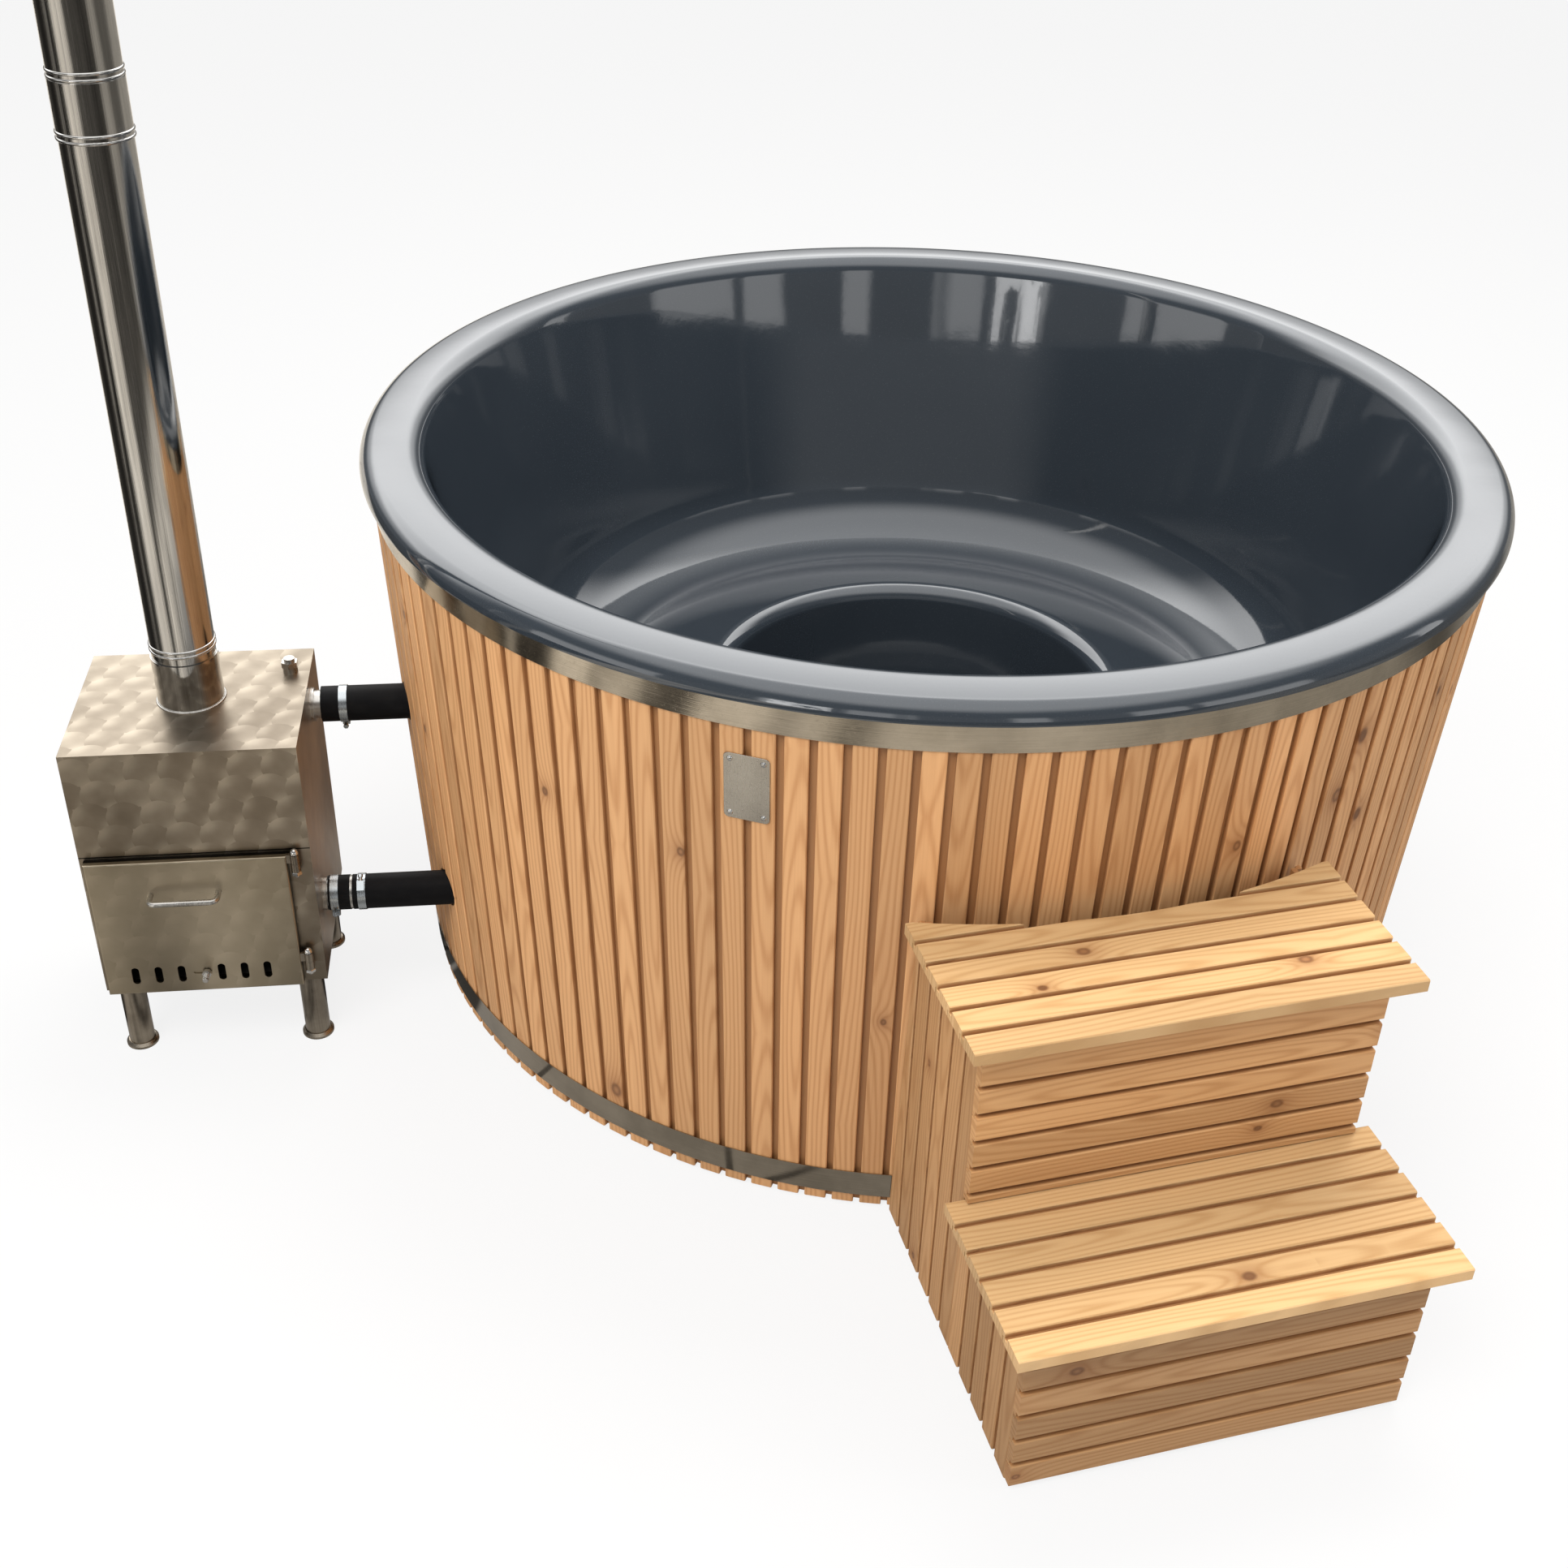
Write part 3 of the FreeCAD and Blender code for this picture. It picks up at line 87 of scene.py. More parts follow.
class Val:
    """A shader socket that works in plain arithmetic."""

    def __init__(self, tree, socket=None):
        self.tree = tree
        self.socket = socket

    def node(self, kind, settings=None, sockets=None, out=0):
        """Any node: its settings first, then its sockets by name or number."""
        made = self.tree.nodes.new(kind)
        for key, value in (settings or {}).items():
            setattr(made, key, value)
        for key, value in (sockets or {}).items():
            if isinstance(value, Val):
                self.tree.links.new(value.socket, made.inputs[key])
            else:
                made.inputs[key].default_value = value
        return Val(self.tree, made.outputs[out])

    def math(self, operation, *values):
        return self.node("ShaderNodeMath", {"operation": operation}, dict(enumerate(values)))

    def __add__(self, other):
        return self.math("ADD", self, other)

    def __radd__(self, other):
        return self.math("ADD", other, self)

    def __sub__(self, other):
        return self.math("SUBTRACT", self, other)

    def __rsub__(self, other):
        return self.math("SUBTRACT", other, self)

    def __mul__(self, other):
        return self.math("MULTIPLY", self, other)

    def __truediv__(self, other):
        return self.math("DIVIDE", self, other)

    def __pow__(self, other):
        return self.math("POWER", self, other)

    def __abs__(self):
        return self.math("ABSOLUTE", self)

    def __gt__(self, other):
        return self.math("GREATER_THAN", self, other)

    def __lt__(self, other):
        return self.math("LESS_THAN", self, other)

    def floor(self):
        return self.math("FLOOR", self)

    def sin(self):
        return self.math("SINE", self)

    def cos(self):
        return self.math("COSINE", self)

    def sqrt(self):
        return self.math("SQRT", self)

    def exp(self):
        return self.math("EXPONENT", self)

    def angle(self, other):
        return self.math("ARCTAN2", self, other)

    def smooth(self, low, high):
        """0 at low, 1 at high, eased between."""
        settings = {"interpolation_type": "SMOOTHSTEP"}
        return self.node("ShaderNodeMapRange", settings, {0: self, 1: low, 2: high})

    def between(self, a, b):
        """This value as the mix of two numbers."""
        return a + self * (b - a)

    def colour(self, a, b):
        """This value as the mix of two colours."""
        return self.node("ShaderNodeMix", {"data_type": "RGBA"}, {0: self, 6: a, 7: b}, 2)

    def times(self, value):
        """This colour darkened or lightened by a value."""
        grey = self.node("ShaderNodeCombineColor", None, {0: value, 1: value, 2: value})
        settings = {"data_type": "RGBA", "blend_type": "MULTIPLY"}
        return self.node("ShaderNodeMix", settings, {0: 1.0, 6: self, 7: grey}, 2)

    def split(self):
        made = self.tree.nodes.new("ShaderNodeSeparateXYZ")
        self.tree.links.new(self.socket, made.inputs[0])
        return [Val(self.tree, s) for s in made.outputs]

    def vector(self, x, y, z):
        return self.node("ShaderNodeCombineXYZ", None, {0: x, 1: y, 2: z})

    def noise(self, x, y, z, detail, rough=0.5):
        sockets = {"Vector": self.vector(x, y, z), "Scale": 1.0, "Detail": detail, "Roughness": rough}
        return self.node("ShaderNodeTexNoise", None, sockets)

    def dice(self, x, y, z):
        """Three random values for a place."""
        return self.node("ShaderNodeTexWhiteNoise", None, {"Vector": self.vector(x, y, z)}, 1).split()


class Finish:
    """A material in the making, with its place on the object as x, y, z."""

    def __init__(self, name):
        self.material = bpy.data.materials.new(name)
        self.material.use_nodes = True
        self.tree = self.material.node_tree
        self.shader = self.tree.nodes["Principled BSDF"]
        self.any = Val(self.tree)
        self.x, self.y, self.z = self.any.node("ShaderNodeTexCoord", None, None, 3).split()

    def normal(self):
        return self.any.node("ShaderNodeTexCoord", None, None, 1).split()

    def set(self, **sockets):
        for key, value in sockets.items():
            socket = self.shader.inputs[key.replace("_", " ")]
            if isinstance(value, Val):
                self.tree.links.new(value.socket, socket)
            else:
                socket.default_value = value
        return self

    def bump(self, height, distance, strength):
        sockets = {"Strength": strength, "Distance": distance, "Height": height}
        return self.set(Normal=self.any.node("ShaderNodeBump", None, sockets))


def rgb(r, g, b):
    return (r, g, b, 1.0)


def step_axes(f):
    """Along and outward distance on the steps."""
    c, s = math.cos(STEP_YAW), math.sin(STEP_YAW)
    return f.x * c + f.y * s, f.x * s - f.y * c


def cladding_lay(f):
    """Along and across a board, its number, and the depth below its face, as every lay gives."""
    t = f.y.angle(f.x) * (BOARDS / (2 * math.pi)) - BOARD_PHASE * BOARDS / 360.0
    board = (t + BOARD_EDGE).floor()
    off = t - board
    r = (f.x * f.x + f.y * f.y).sqrt()
    turn = off * (2 * math.pi / BOARDS)
    return f.z, off * BOARD_WIDTH, board, f.z * CLAD_SLOPE + CLAD_R - r * turn.cos()


def tread_lay(front, top, first):
    def lay(f):
        lat, out = step_axes(f)
        t = (front - out) / STEP_PITCH
        board = t.floor()
        inner = (out < front - STEP_EDGE) * (abs(lat) < STEP_HALF - STEP_EDGE)
        return lat, (t - board - STEP_MIDDLE) * STEP_PITCH, board + first, (top - f.z) * inner
    return lay


def riser_lay(front, top, first):
    def lay(f):
        lat, out = step_axes(f)
        t = (top - f.z) / STEP_PITCH + 1.0
        board = t.floor()
        sunk = (front - OVER_FRONT - out) * (abs(lat) < SIDE_FACE - STEP_EDGE)
        return lat, (t - board - STEP_MIDDLE) * STEP_PITCH, board + first, sunk
    return lay


def side_lay(first):
    def lay(f):
        lat, out = step_axes(f)
        front = (out > UPPER_FRONT - OVER_FRONT - BOARD_T).between(UPPER_SIDE_FRONT, LOWER_SIDE_FRONT)
        t = (front - out) / STEP_PITCH
        board = t.floor()
        sunk = (SIDE_FACE - abs(lat)) * (out < front - STEP_EDGE)
        return f.z, (t - board - STEP_MIDDLE) * STEP_PITCH, board + front * 50.0 + first, sunk
    return lay


def frame_lay(f):
    return f.x, f.y + f.z * 0.7, (f.y * 6.0).floor() + (f.z * 9.0).floor() * 7.0 + 400.0, f.z * 0.0


# painted shade: the colour the board grooves darken to with depth below the face
GROOVE_SHADE_BROWN = rgb(0.36, 0.172, 0.068)


def timber(name, lay, early, late, knotty=0.30, shadow=0.9, depth=0.0075):
    """Oiled softwood: growth rings, pores and knots, different on each board, with painted shade down in the
    grooves.
    """
    f = Finish(name)
    along, across, board, sunk = lay(f)
    r, g, b = f.any.dice(board, 3.1, 7.7)
    a = along + r * 31.0
    cell = (a / KNOT_CELL).floor()
    kr, kg, kb = f.any.dice(board, cell, 2.3)
    shown = f.any.dice(board, cell, 9.1)[0] < knotty
    size = kb * kb * 0.0065 + 0.0048
    from_x = across - (kg - 0.5) * 0.026
    from_y = (a - (cell + kr * 0.6 + 0.2) * KNOT_CELL) * 0.72
    far = (from_x * from_x + from_y * from_y).sqrt() / size
    knot = (1.0 - far.smooth(0.55, 1.25)) * shown
    halo = (far * -0.34).exp() * shown
    warp = f.any.noise(across * 16.0, a * 2.2, board * 3.7, 2.0)
    bow = ((a / BOW_LENGTH) - (a / BOW_LENGTH).floor() - 0.5) * HEART_WANDER
    heart = across - (g - 0.5) * HEART_WANDER
    q = (heart * heart + bow * bow + 0.00002).sqrt() + warp * 0.012 + halo * 0.022
    wave = (q * (2 * math.pi / RING_PITCH) + warp * 3.0).sin() * 0.5 + 0.5
    pores = f.any.noise(across * 1500.0, a * 14.0, board * 1.9, 3.0, 0.6)
    streak = f.any.noise(across * 260.0, a * 1.6, board * 5.3, 2.0)
    ring = wave ** 2.2 * 0.50 + streak * 0.50 + pores * 0.24 - 0.14
    cloud = f.any.noise(across * 12.0, a * 1.3, board * 2.9, 2.0)
    wood = ring.colour(early, late)
    wood = (halo * 0.85 + (cloud - 0.5) * 0.25).smooth(0.0, 1.1).colour(wood, rgb(0.30, 0.125, 0.045))
    core = (kg * 1.3).colour(rgb(0.13, 0.055, 0.025), rgb(0.36, 0.175, 0.075))
    wood = (knot * 0.9).colour(wood, far.smooth(0.1, 0.9).colour(core, rgb(0.15, 0.062, 0.026)))
    tone = (b * 0.30 + 0.84) + (cloud - 0.5) * 0.22
    # painted shade: the wood fades towards the groove shade colour with depth below the board face
    wood = (sunk.smooth(0.0010, depth) * shadow).colour(wood.times(tone), GROOVE_SHADE_BROWN)
    f.set(Base_Color=wood, Roughness=0.46 + pores * 0.16 + wave * 0.05 - knot * 0.12)
    f.set(Specular_IOR_Level=0.38)
    return f.bump(pores * 0.5 + streak * 0.35 - wave * 0.35 - knot * 0.6, 0.0005, 0.55).material


def gelcoat():
    """Anthracite gelcoat, very glossy, with the faint waviness of a hand-laid moulding."""
    f = Finish("anthracite_gelcoat")
    slow = f.any.noise(f.x * 3.1, f.y * 3.1, f.z * 3.1, 2.0)
    peel = f.any.noise(f.x * 60.0, f.y * 60.0, f.z * 60.0, 2.0)
    dust = f.any.noise(f.x * 420.0, f.y * 420.0, f.z * 420.0, 2.0, 0.7).smooth(0.58, 0.80)
    tint = slow.colour(rgb(0.024, 0.031, 0.040), rgb(0.032, 0.040, 0.050))
    tint = (dust * 0.10).colour(tint, rgb(0.30, 0.31, 0.33))
    f.set(Base_Color=tint, Roughness=slow * 0.05 + dust * 0.05 + 0.045, Coat_Weight=dust * -0.3 + 0.85)
    f.set(Coat_Roughness=0.03, IOR=1.60)
    return f.bump(slow * 0.9 + peel * 0.02, 0.010, 0.35).material


def steel_plane(f):
    """The two directions in the plane of a flat sheet."""
    nx, _, nz = f.normal()
    side = abs(nx) > FACING
    top = abs(nz) > FACING
    return side.between(f.x, f.y), top.between(f.z, f.y)


def engine_turned(name, tint, shade, swirl, edge):
    """Overlapping brushed discs in rows, each lapped by the next, with a painted highlight wedge on each;
    side sheets are plain, and sheets facing up or down get painted shade. The edge mask is painted near black
    as shadow.
    """
    f = Finish(name)
    u, v = steel_plane(f)
    plain = abs(f.normal()[0]) > FACING

    def disc(row, step):
        lean = row * DISC_LEAN
        column = (u / DISC_PITCH - lean).floor() + step
        du = u / DISC_PITCH - (column + lean + 0.5)
        dv = v / DISC_PITCH - (row + 0.5) * DISC_ROW
        return (du * du + dv * dv).sqrt(), dv.angle(du), f.any.dice(column, row, 4.4)[0]

    row = (v / (DISC_PITCH * DISC_ROW)).floor()
    far, turn, pick = disc(row, 0.0)
    for lap_far, lap_turn, lap_pick in (disc(row, 1.0), disc(row - 1.0, 0.0), disc(row - 1.0, 1.0)):
        over = lap_far < DISC_R
        far = over.between(far, lap_far)
        turn = over.between(turn, lap_turn)
        pick = over.between(pick, lap_pick)
    rings = f.any.noise(far * 140.0, pick * 90.0, turn * 0.8, 2.0, 0.7)
    # painted highlight: fan and the glint paint two bright wedges on each disc for its brushed sheen
    fan = ((turn + 0.75 + (pick - 0.5) * 0.6) * 2.0).cos() * 0.5 + 0.5
    painted_glint = fan ** 2.0 * far.smooth(0.10, 0.58)
    grime = f.any.noise(f.x * 6.0, f.y * 6.0, f.z * 6.0, 4.0, 0.6)
    turned = painted_glint * 0.62 + rings * 0.24 + (pick - 0.5) * 0.30 + 0.12
    light = plain.between(turned * swirl, 0.50) + (grime - 0.5) * 1.1 + (1.0 - swirl) * 0.34 + 0.08
    # painted shade: sheets facing up or down are darkened by up to 22 percent
    sheet = light.smooth(0.0, 1.1).colour(shade, tint).times(1.0 - abs(f.normal()[2]).smooth(0.5, 0.8) * 0.22)
    # painted shadow: the edge mask, the door's fold gap or the line under the lapped sheet, is painted near
    # black
    sheet = edge(f).colour(sheet, rgb(0.018, 0.016, 0.014))
    f.set(Base_Color=sheet, Metallic=1.0, Roughness=0.29 - fan * 0.05 * swirl + rings * 0.08 + grime * 0.10)
    return f.bump(rings * 0.5 + painted_glint * 0.5, 0.0006, 0.14 * swirl + 0.02).material


def door_gap_shadow(f):
    """Painted shadow on the back of the door's fold, where it shuts on the rope seal."""
    return f.y.smooth(*DOOR_FOLD)


def seam_shadow_line(f):
    """Painted shadow line where the upper front sheet laps over the door frame."""
    return (1.0 - abs(f.z - SEAM_Z).smooth(0.0006, 0.0016)) * (f.y < SEAM_Y)


def brushed(name, tint, shade, rough, grain, scuff=0.3):
    """Sheet or bar steel with drawn scratches and handling marks."""
    f = Finish(name)
    drawn = f.any.noise(f.x * grain[0], f.y * grain[1], f.z * grain[2], 3.0, 0.65)
    blot = f.any.noise(f.x * 11.0, f.y * 11.0, f.z * 11.0, 4.0, 0.6)
    speck = f.any.noise(f.x * 190.0, f.y * 190.0, f.z * 190.0, 2.0).smooth(0.60, 0.75)
    light = drawn * 0.6 + (blot - 0.5) * (1.0 + scuff) + 0.22
    f.set(Base_Color=light.smooth(0.1, 0.95).colour(shade, tint), Metallic=1.0)
    f.set(Roughness=rough + drawn * 0.08 + (blot - 0.5) * scuff * 0.4 + speck * 0.08)
    return f.bump(drawn * 0.8 + speck * 0.2, 0.0004, 0.18).material


def polished(name, tint, shade, rough):
    """Mirror-bright rolled steel with faint lengthwise draw lines."""
    f = Finish(name)
    around = (f.y - FLUE_Y).angle(f.x - FLUE_X)
    drawn = f.any.noise(around * 60.0, f.z * 0.6, 0.0, 2.0)
    smear = f.any.noise(around * 3.0, f.z * 2.4, 5.0, 3.0, 0.6)
    f.set(Base_Color=(drawn * 0.5 + smear * 0.5).smooth(0.25, 0.75).colour(shade, tint), Metallic=1.0)
    f.set(Roughness=rough + smear.smooth(0.45, 0.8) * 0.05 + drawn * 0.03)
    return f.bump(drawn * 0.4 + smear * 0.6, 0.0012, 0.22).material


def rubber():
    """Black rubber with a fine grain and some dust."""
    f = Finish("hose_rubber")
    grain = f.any.noise(f.x * 300.0, f.y * 700.0, f.z * 700.0, 3.0, 0.6)
    dust = f.any.noise(f.x * 25.0, f.y * 40.0, f.z * 40.0, 3.0, 0.6).smooth(0.45, 0.85)
    f.set(Base_Color=(dust * 0.4).colour(rgb(0.0035, 0.0035, 0.004), rgb(0.016, 0.0155, 0.015)))
    f.set(Roughness=0.44 + grain * 0.14 + dust * 0.12, Specular_IOR_Level=0.14)
    return f.bump(grain, 0.0005, 0.35).material


def moulded(name, tint, pale):
    """Dark plastic or rubber with a fine grain."""
    f = Finish(name)
    grain = f.any.noise(f.x * 900.0, f.y * 900.0, f.z * 900.0, 2.0)
    cloud = f.any.noise(f.x * 20.0, f.y * 20.0, f.z * 20.0, 2.0)
    f.set(Base_Color=cloud.colour(tint, pale), Roughness=0.35 + grain * 0.15)
    return f.bump(grain, 0.0003, 0.3).material


def sooted(name, tint, pale):
    """Steel or iron with a crust of soot and some ash."""
    f = Finish(name)
    crust = f.any.noise(f.x * 60.0, f.y * 60.0, f.z * 60.0, 5.0, 0.65)
    ash = f.any.noise(f.x * 9.0, f.y * 9.0, f.z * 9.0, 3.0).smooth(0.45, 0.75)
    f.set(Base_Color=(ash * 0.6 + crust * 0.3).colour(tint, pale))
    f.set(Metallic=0.35, Roughness=0.65 + crust * 0.25)
    return f.bump(crust, 0.001, 0.5).material


def banded_clamp():
    """Bright clamp band with the worm's row of slots."""
    f = Finish("clamp_band")
    scratch = f.any.noise(f.x * 700.0, f.y * 60.0, f.z * 60.0, 3.0, 0.6)
    low = f.z < BETWEEN_HOSES
    y = f.y - low.between(UPPER_HOSE[0], LOWER_HOSE[0])
    z = f.z - low.between(UPPER_HOSE[1], LOWER_HOSE[1])
    turn = z.angle(y) * CLAMP_SLOTS
    slot = ((turn * 2.0).sin() > 0.72) * (abs(turn / CLAMP_SLOTS + 1.2) < 0.75)
    bright = scratch.colour(rgb(0.44, 0.47, 0.49), rgb(0.68, 0.72, 0.74))
    f.set(Base_Color=(slot * 0.9).colour(bright, rgb(0.05, 0.05, 0.05)))
    f.set(Metallic=1.0, Roughness=0.20 + scratch * 0.14 + slot * 0.3)
    return f.bump(scratch * 0.2 - slot, 0.0006, 0.3).material


# Early and late wood of each face
CLADDING = rgb(0.690, 0.388, 0.180), rgb(0.475, 0.226, 0.088)
TREAD = rgb(0.690, 0.455, 0.228), rgb(0.500, 0.285, 0.118)
RISER = rgb(0.655, 0.378, 0.172), rgb(0.460, 0.228, 0.086)
# painted shade: SHADY is the riser wood darkened, for the lower riser shaded by the ground
SHADY = rgb(0.465, 0.268, 0.124), rgb(0.330, 0.162, 0.062)
SIDE = rgb(0.545, 0.315, 0.146), rgb(0.385, 0.190, 0.073)
SAWN = rgb(0.60, 0.41, 0.22), rgb(0.42, 0.26, 0.12)
SIDE_KNOTS, SIDE_SHADOW, SIDE_DEPTH = 0.30, 1.0, 0.0040
# Light and dark tone of each steel
CASING_STEEL = rgb(0.66, 0.570, 0.450), rgb(0.25, 0.202, 0.148)
DOOR_STEEL = rgb(0.66, 0.568, 0.43), rgb(0.39, 0.327, 0.232)
BAR_STEEL = rgb(0.70, 0.68, 0.64), rgb(0.40, 0.38, 0.35)
# painted shade: the leg steel is a darker copy of the satin steel, for the legs and hinge parts that sit in
# shade
SHADED_LEG_STEEL = rgb(0.46, 0.40, 0.32), rgb(0.22, 0.185, 0.145)
BRIGHT_STEEL = rgb(0.80, 0.79, 0.77), rgb(0.55, 0.54, 0.52)
PLATE_STEEL = rgb(0.70, 0.655, 0.585), rgb(0.48, 0.445, 0.39)
# painted reflection and shade: the hoop steels are tinted warm for the wood and paving they mirror, and the
# lower hoop is a darker copy for the shaded floor near the tub
HOOP_STEEL = rgb(0.61, 0.545, 0.45), rgb(0.43, 0.38, 0.305)
SHADED_LOW_HOOP_STEEL = rgb(0.58, 0.495, 0.385), rgb(0.40, 0.34, 0.26)
FLUE_STEEL = rgb(0.70, 0.69, 0.67), rgb(0.50, 0.485, 0.46)
# How fine the scratches are along x, y and z
UPRIGHT, ROUND, ALL_WAYS = (300.0, 300.0, 6.0), (6.0, 6.0, 700.0), (90.0, 90.0, 90.0)
PLATE_GRAIN = (500.0, 500.0, 9.0)
finishes = {
    "gelcoat": gelcoat(),
    "cladding": timber("cladding_softwood", cladding_lay, *CLADDING, 0.22),
    "upper_tread": timber("upper_tread_softwood", tread_lay(UPPER_FRONT, UPPER_TOP, 200.0), *TREAD),
    "lower_tread": timber("lower_tread_softwood", tread_lay(LOWER_FRONT, LOWER_TOP, 230.0), *TREAD),
    "upper_riser": timber("upper_riser_softwood", riser_lay(UPPER_FRONT, UPPER_RISER_TOP, 260.0), *RISER),
    "lower_riser": timber("lower_riser_shaded_softwood", riser_lay(LOWER_FRONT, LOWER_RISER_TOP, 290.0), *SHADY),
    "left_side": timber("left_side_softwood", side_lay(320.0), *SIDE, SIDE_KNOTS, SIDE_SHADOW, SIDE_DEPTH),
    "right_side": timber("right_side_softwood", side_lay(620.0), *SIDE, SIDE_KNOTS, SIDE_SHADOW, SIDE_DEPTH),
    "frame": timber("sawn_softwood", frame_lay, *SAWN, 0.3, 0.0),
    "casing": engine_turned("engine_turned_steel", *CASING_STEEL, 0.55, seam_shadow_line),
    "door": engine_turned("worn_door_steel", *DOOR_STEEL, 0.35, door_gap_shadow),
    "bar": brushed("satin_bar_steel", *BAR_STEEL, 0.24, UPRIGHT),
    "leg": brushed("shaded_leg_tube_steel", *SHADED_LEG_STEEL, 0.26, UPRIGHT, 0.5),
    "bright": brushed("bright_fastener_steel", *BRIGHT_STEEL, 0.16, ALL_WAYS, 0.2),
    "plate": brushed("plate_steel", *PLATE_STEEL, 0.22, PLATE_GRAIN, 0.2),
    "hoop": brushed("hoop_steel", *HOOP_STEEL, 0.08, ROUND, 0.25),
    "shaded_low_hoop": brushed("low_hoop_steel", *SHADED_LOW_HOOP_STEEL, 0.10, ROUND, 0.3),
    "flue": polished("mirror_flue_steel", *FLUE_STEEL, 0.045),
    "clamp": banded_clamp(),
    "rubber": rubber(),
    "fitting": moulded("fitting_plastic", rgb(0.030, 0.033, 0.038), rgb(0.055, 0.058, 0.064)),
    "plug": moulded("plug_rubber", rgb(0.020, 0.020, 0.021), rgb(0.036, 0.036, 0.037)),
    "soot": sooted("sooted_steel", rgb(0.020, 0.018, 0.016), rgb(0.13, 0.12, 0.11)),
    "iron": sooted("grate_iron", rgb(0.025, 0.024, 0.024), rgb(0.10, 0.095, 0.09)),
}
WEARS = {
    "gelcoat": ["liner_shell"],
    "cladding": ["cladding_boards", "drilled_boards"],
    "upper_tread": ["upper_tread_boards"],
    "lower_tread": ["lower_tread_boards"],
    "upper_riser": ["upper_riser_boards"],
    "lower_riser": ["lower_riser_boards"],
    "left_side": ["left_side_boards"],
    "right_side": ["right_side_boards"],
    "frame": ["base_bearers", "lower_frame_ring", "upper_frame_ring", "seat_posts",
              "step_posts", "step_rails"],
    "casing": ["heater_casing", "heater_front_plate"],
    "door": ["heater_door", "air_slide", "air_slide_guides"],
    "leg": ["heater_legs", "leg_feet", "hinge_brackets", "door_hinge_knuckles"],
    "bar": ["vent_socket", "vent_plug", "upper_nozzle", "lower_nozzle", "lower_nipple",
            "hinge_pins", "door_handle", "air_slide_knob"],
    "hoop": ["upper_hoop"],
    "shaded_low_hoop": ["lower_hoop"],
    "flue": ["flue_collar", "lower_flue_pipe", "upper_flue_pipe"],
    "clamp": ["upper_hose_clamp", "lower_sleeve_clamp", "lower_hose_clamp",
              "upper_tail_clamp", "lower_tail_clamp"],
    "rubber": ["lower_sleeve", "upper_hose", "lower_hose"],
    "fitting": ["drain_fitting", "drain_nut", "return_fitting", "return_nut",
                "suction_fitting", "suction_nut", "suction_pipe"],
    "plug": ["drain_plug"],
    "soot": ["firebox"],
    "iron": ["fire_grate"],
}


def dress_nodes():
    """Give every CAD node its finish."""
    for finish, names in WEARS.items():
        for name in names:
            mesh = NODES[name].data
            mesh.materials.clear()
            mesh.materials.append(finishes[finish])


def look_from_photo():
    """The camera that the rim, hoops and step edges of the photograph fit."""
    yaw, pitch, roll = CAMERA_YAW, CAMERA_PITCH, CAMERA_ROLL
    ahead = Vector((math.sin(yaw) * math.cos(pitch), math.cos(yaw) * math.cos(pitch), -math.sin(pitch)))
    right = Vector((math.cos(yaw), -math.sin(yaw), 0.0))
    up = right.cross(ahead)
    x = right * math.cos(roll) + up * math.sin(roll)
    y = up * math.cos(roll) - right * math.sin(roll)
    data = bpy.data.cameras.new("photo_camera")
    data.lens = CAMERA_LENS
    data.sensor_width = 36.0
    data.sensor_fit = "HORIZONTAL"
    data.clip_end = 200.0
    camera = bpy.data.objects.new("photo_camera", data)
    bpy.context.scene.collection.objects.link(camera)
    axes = Matrix((x, y, -ahead)).transposed().to_4x4()
    camera.matrix_world = Matrix.Translation(CAMERA_AT) @ axes
    bpy.context.scene.camera = camera


def softbox(name, place, target, width, height, power):
    """A soft lamp that mirrors don't show."""
    data = bpy.data.lights.new(name, "AREA")
    data.shape = "RECTANGLE"
    data.size, data.size_y = width, height
    data.energy = power
    data.color = LAMP_TINT
    lamp = bpy.data.objects.new(name, data)
    bpy.context.scene.collection.objects.link(lamp)
    lamp.visible_glossy = False
    lamp.location = place
    lamp.rotation_euler = (Vector(target) - Vector(place)).to_track_quat("-Z", "Y").to_euler()


def bands(any_, turn, seed, rate, low, high, share=0.50):
    """Uneven bright and dark strips round a circle, as windows and posts give."""
    strip = any_.noise(turn.cos() * rate, turn.sin() * rate, seed, 1.0)
    return strip.smooth(share - 0.03, share + 0.03).between(low, high)


def studio_sky():
    """White to the eye; to mirrors a bright sky, a light wall behind and lit panels along the front."""
    world = bpy.data.worlds.new("studio_sky")
    world.use_nodes = True
    bpy.context.scene.world = world
    tree = world.node_tree
    any_ = Val(tree)
    seen = any_.node("ShaderNodeLightPath", None, None, 0)
    mirrored = any_.node("ShaderNodeLightPath", None, None, 3)
    x, y, z = any_.node("ShaderNodeTexCoord", None, None, 0).split()
    panels = bands(any_, y.angle(x), 3.0, 4.6, 0.08, 1.3) * (1.0 - abs(z).smooth(0.22, 0.40))
    overhead = z.smooth(0.60, 0.90) * 1.5
    behind = y.smooth(0.15, 0.60) * (z.smooth(0.10, 0.30) * 0.9 + z.smooth(0.27, 0.43) * 1.60)
    lights = any_.noise(x * 34.0, y * 34.0, z * 5.0, 1.0).smooth(0.40, 0.46)
    pane = (abs(y.angle(x) + 2.12) < 0.10) * lights
    window = pane * (1.0 - abs(z - 0.12).smooth(0.14, 0.18)) * 3.6
    room = (y < 0.1) * (panels + window) + overhead + behind * (1.0 - z.smooth(0.78, 0.95)) + 0.14
    level = seen.between(mirrored.between(0.56, room), 1.0)
    back = tree.nodes["Background"]
    back.inputs["Color"].default_value = rgb(1.0, 1.0, 1.0)
    tree.links.new(level.socket, back.inputs["Strength"])


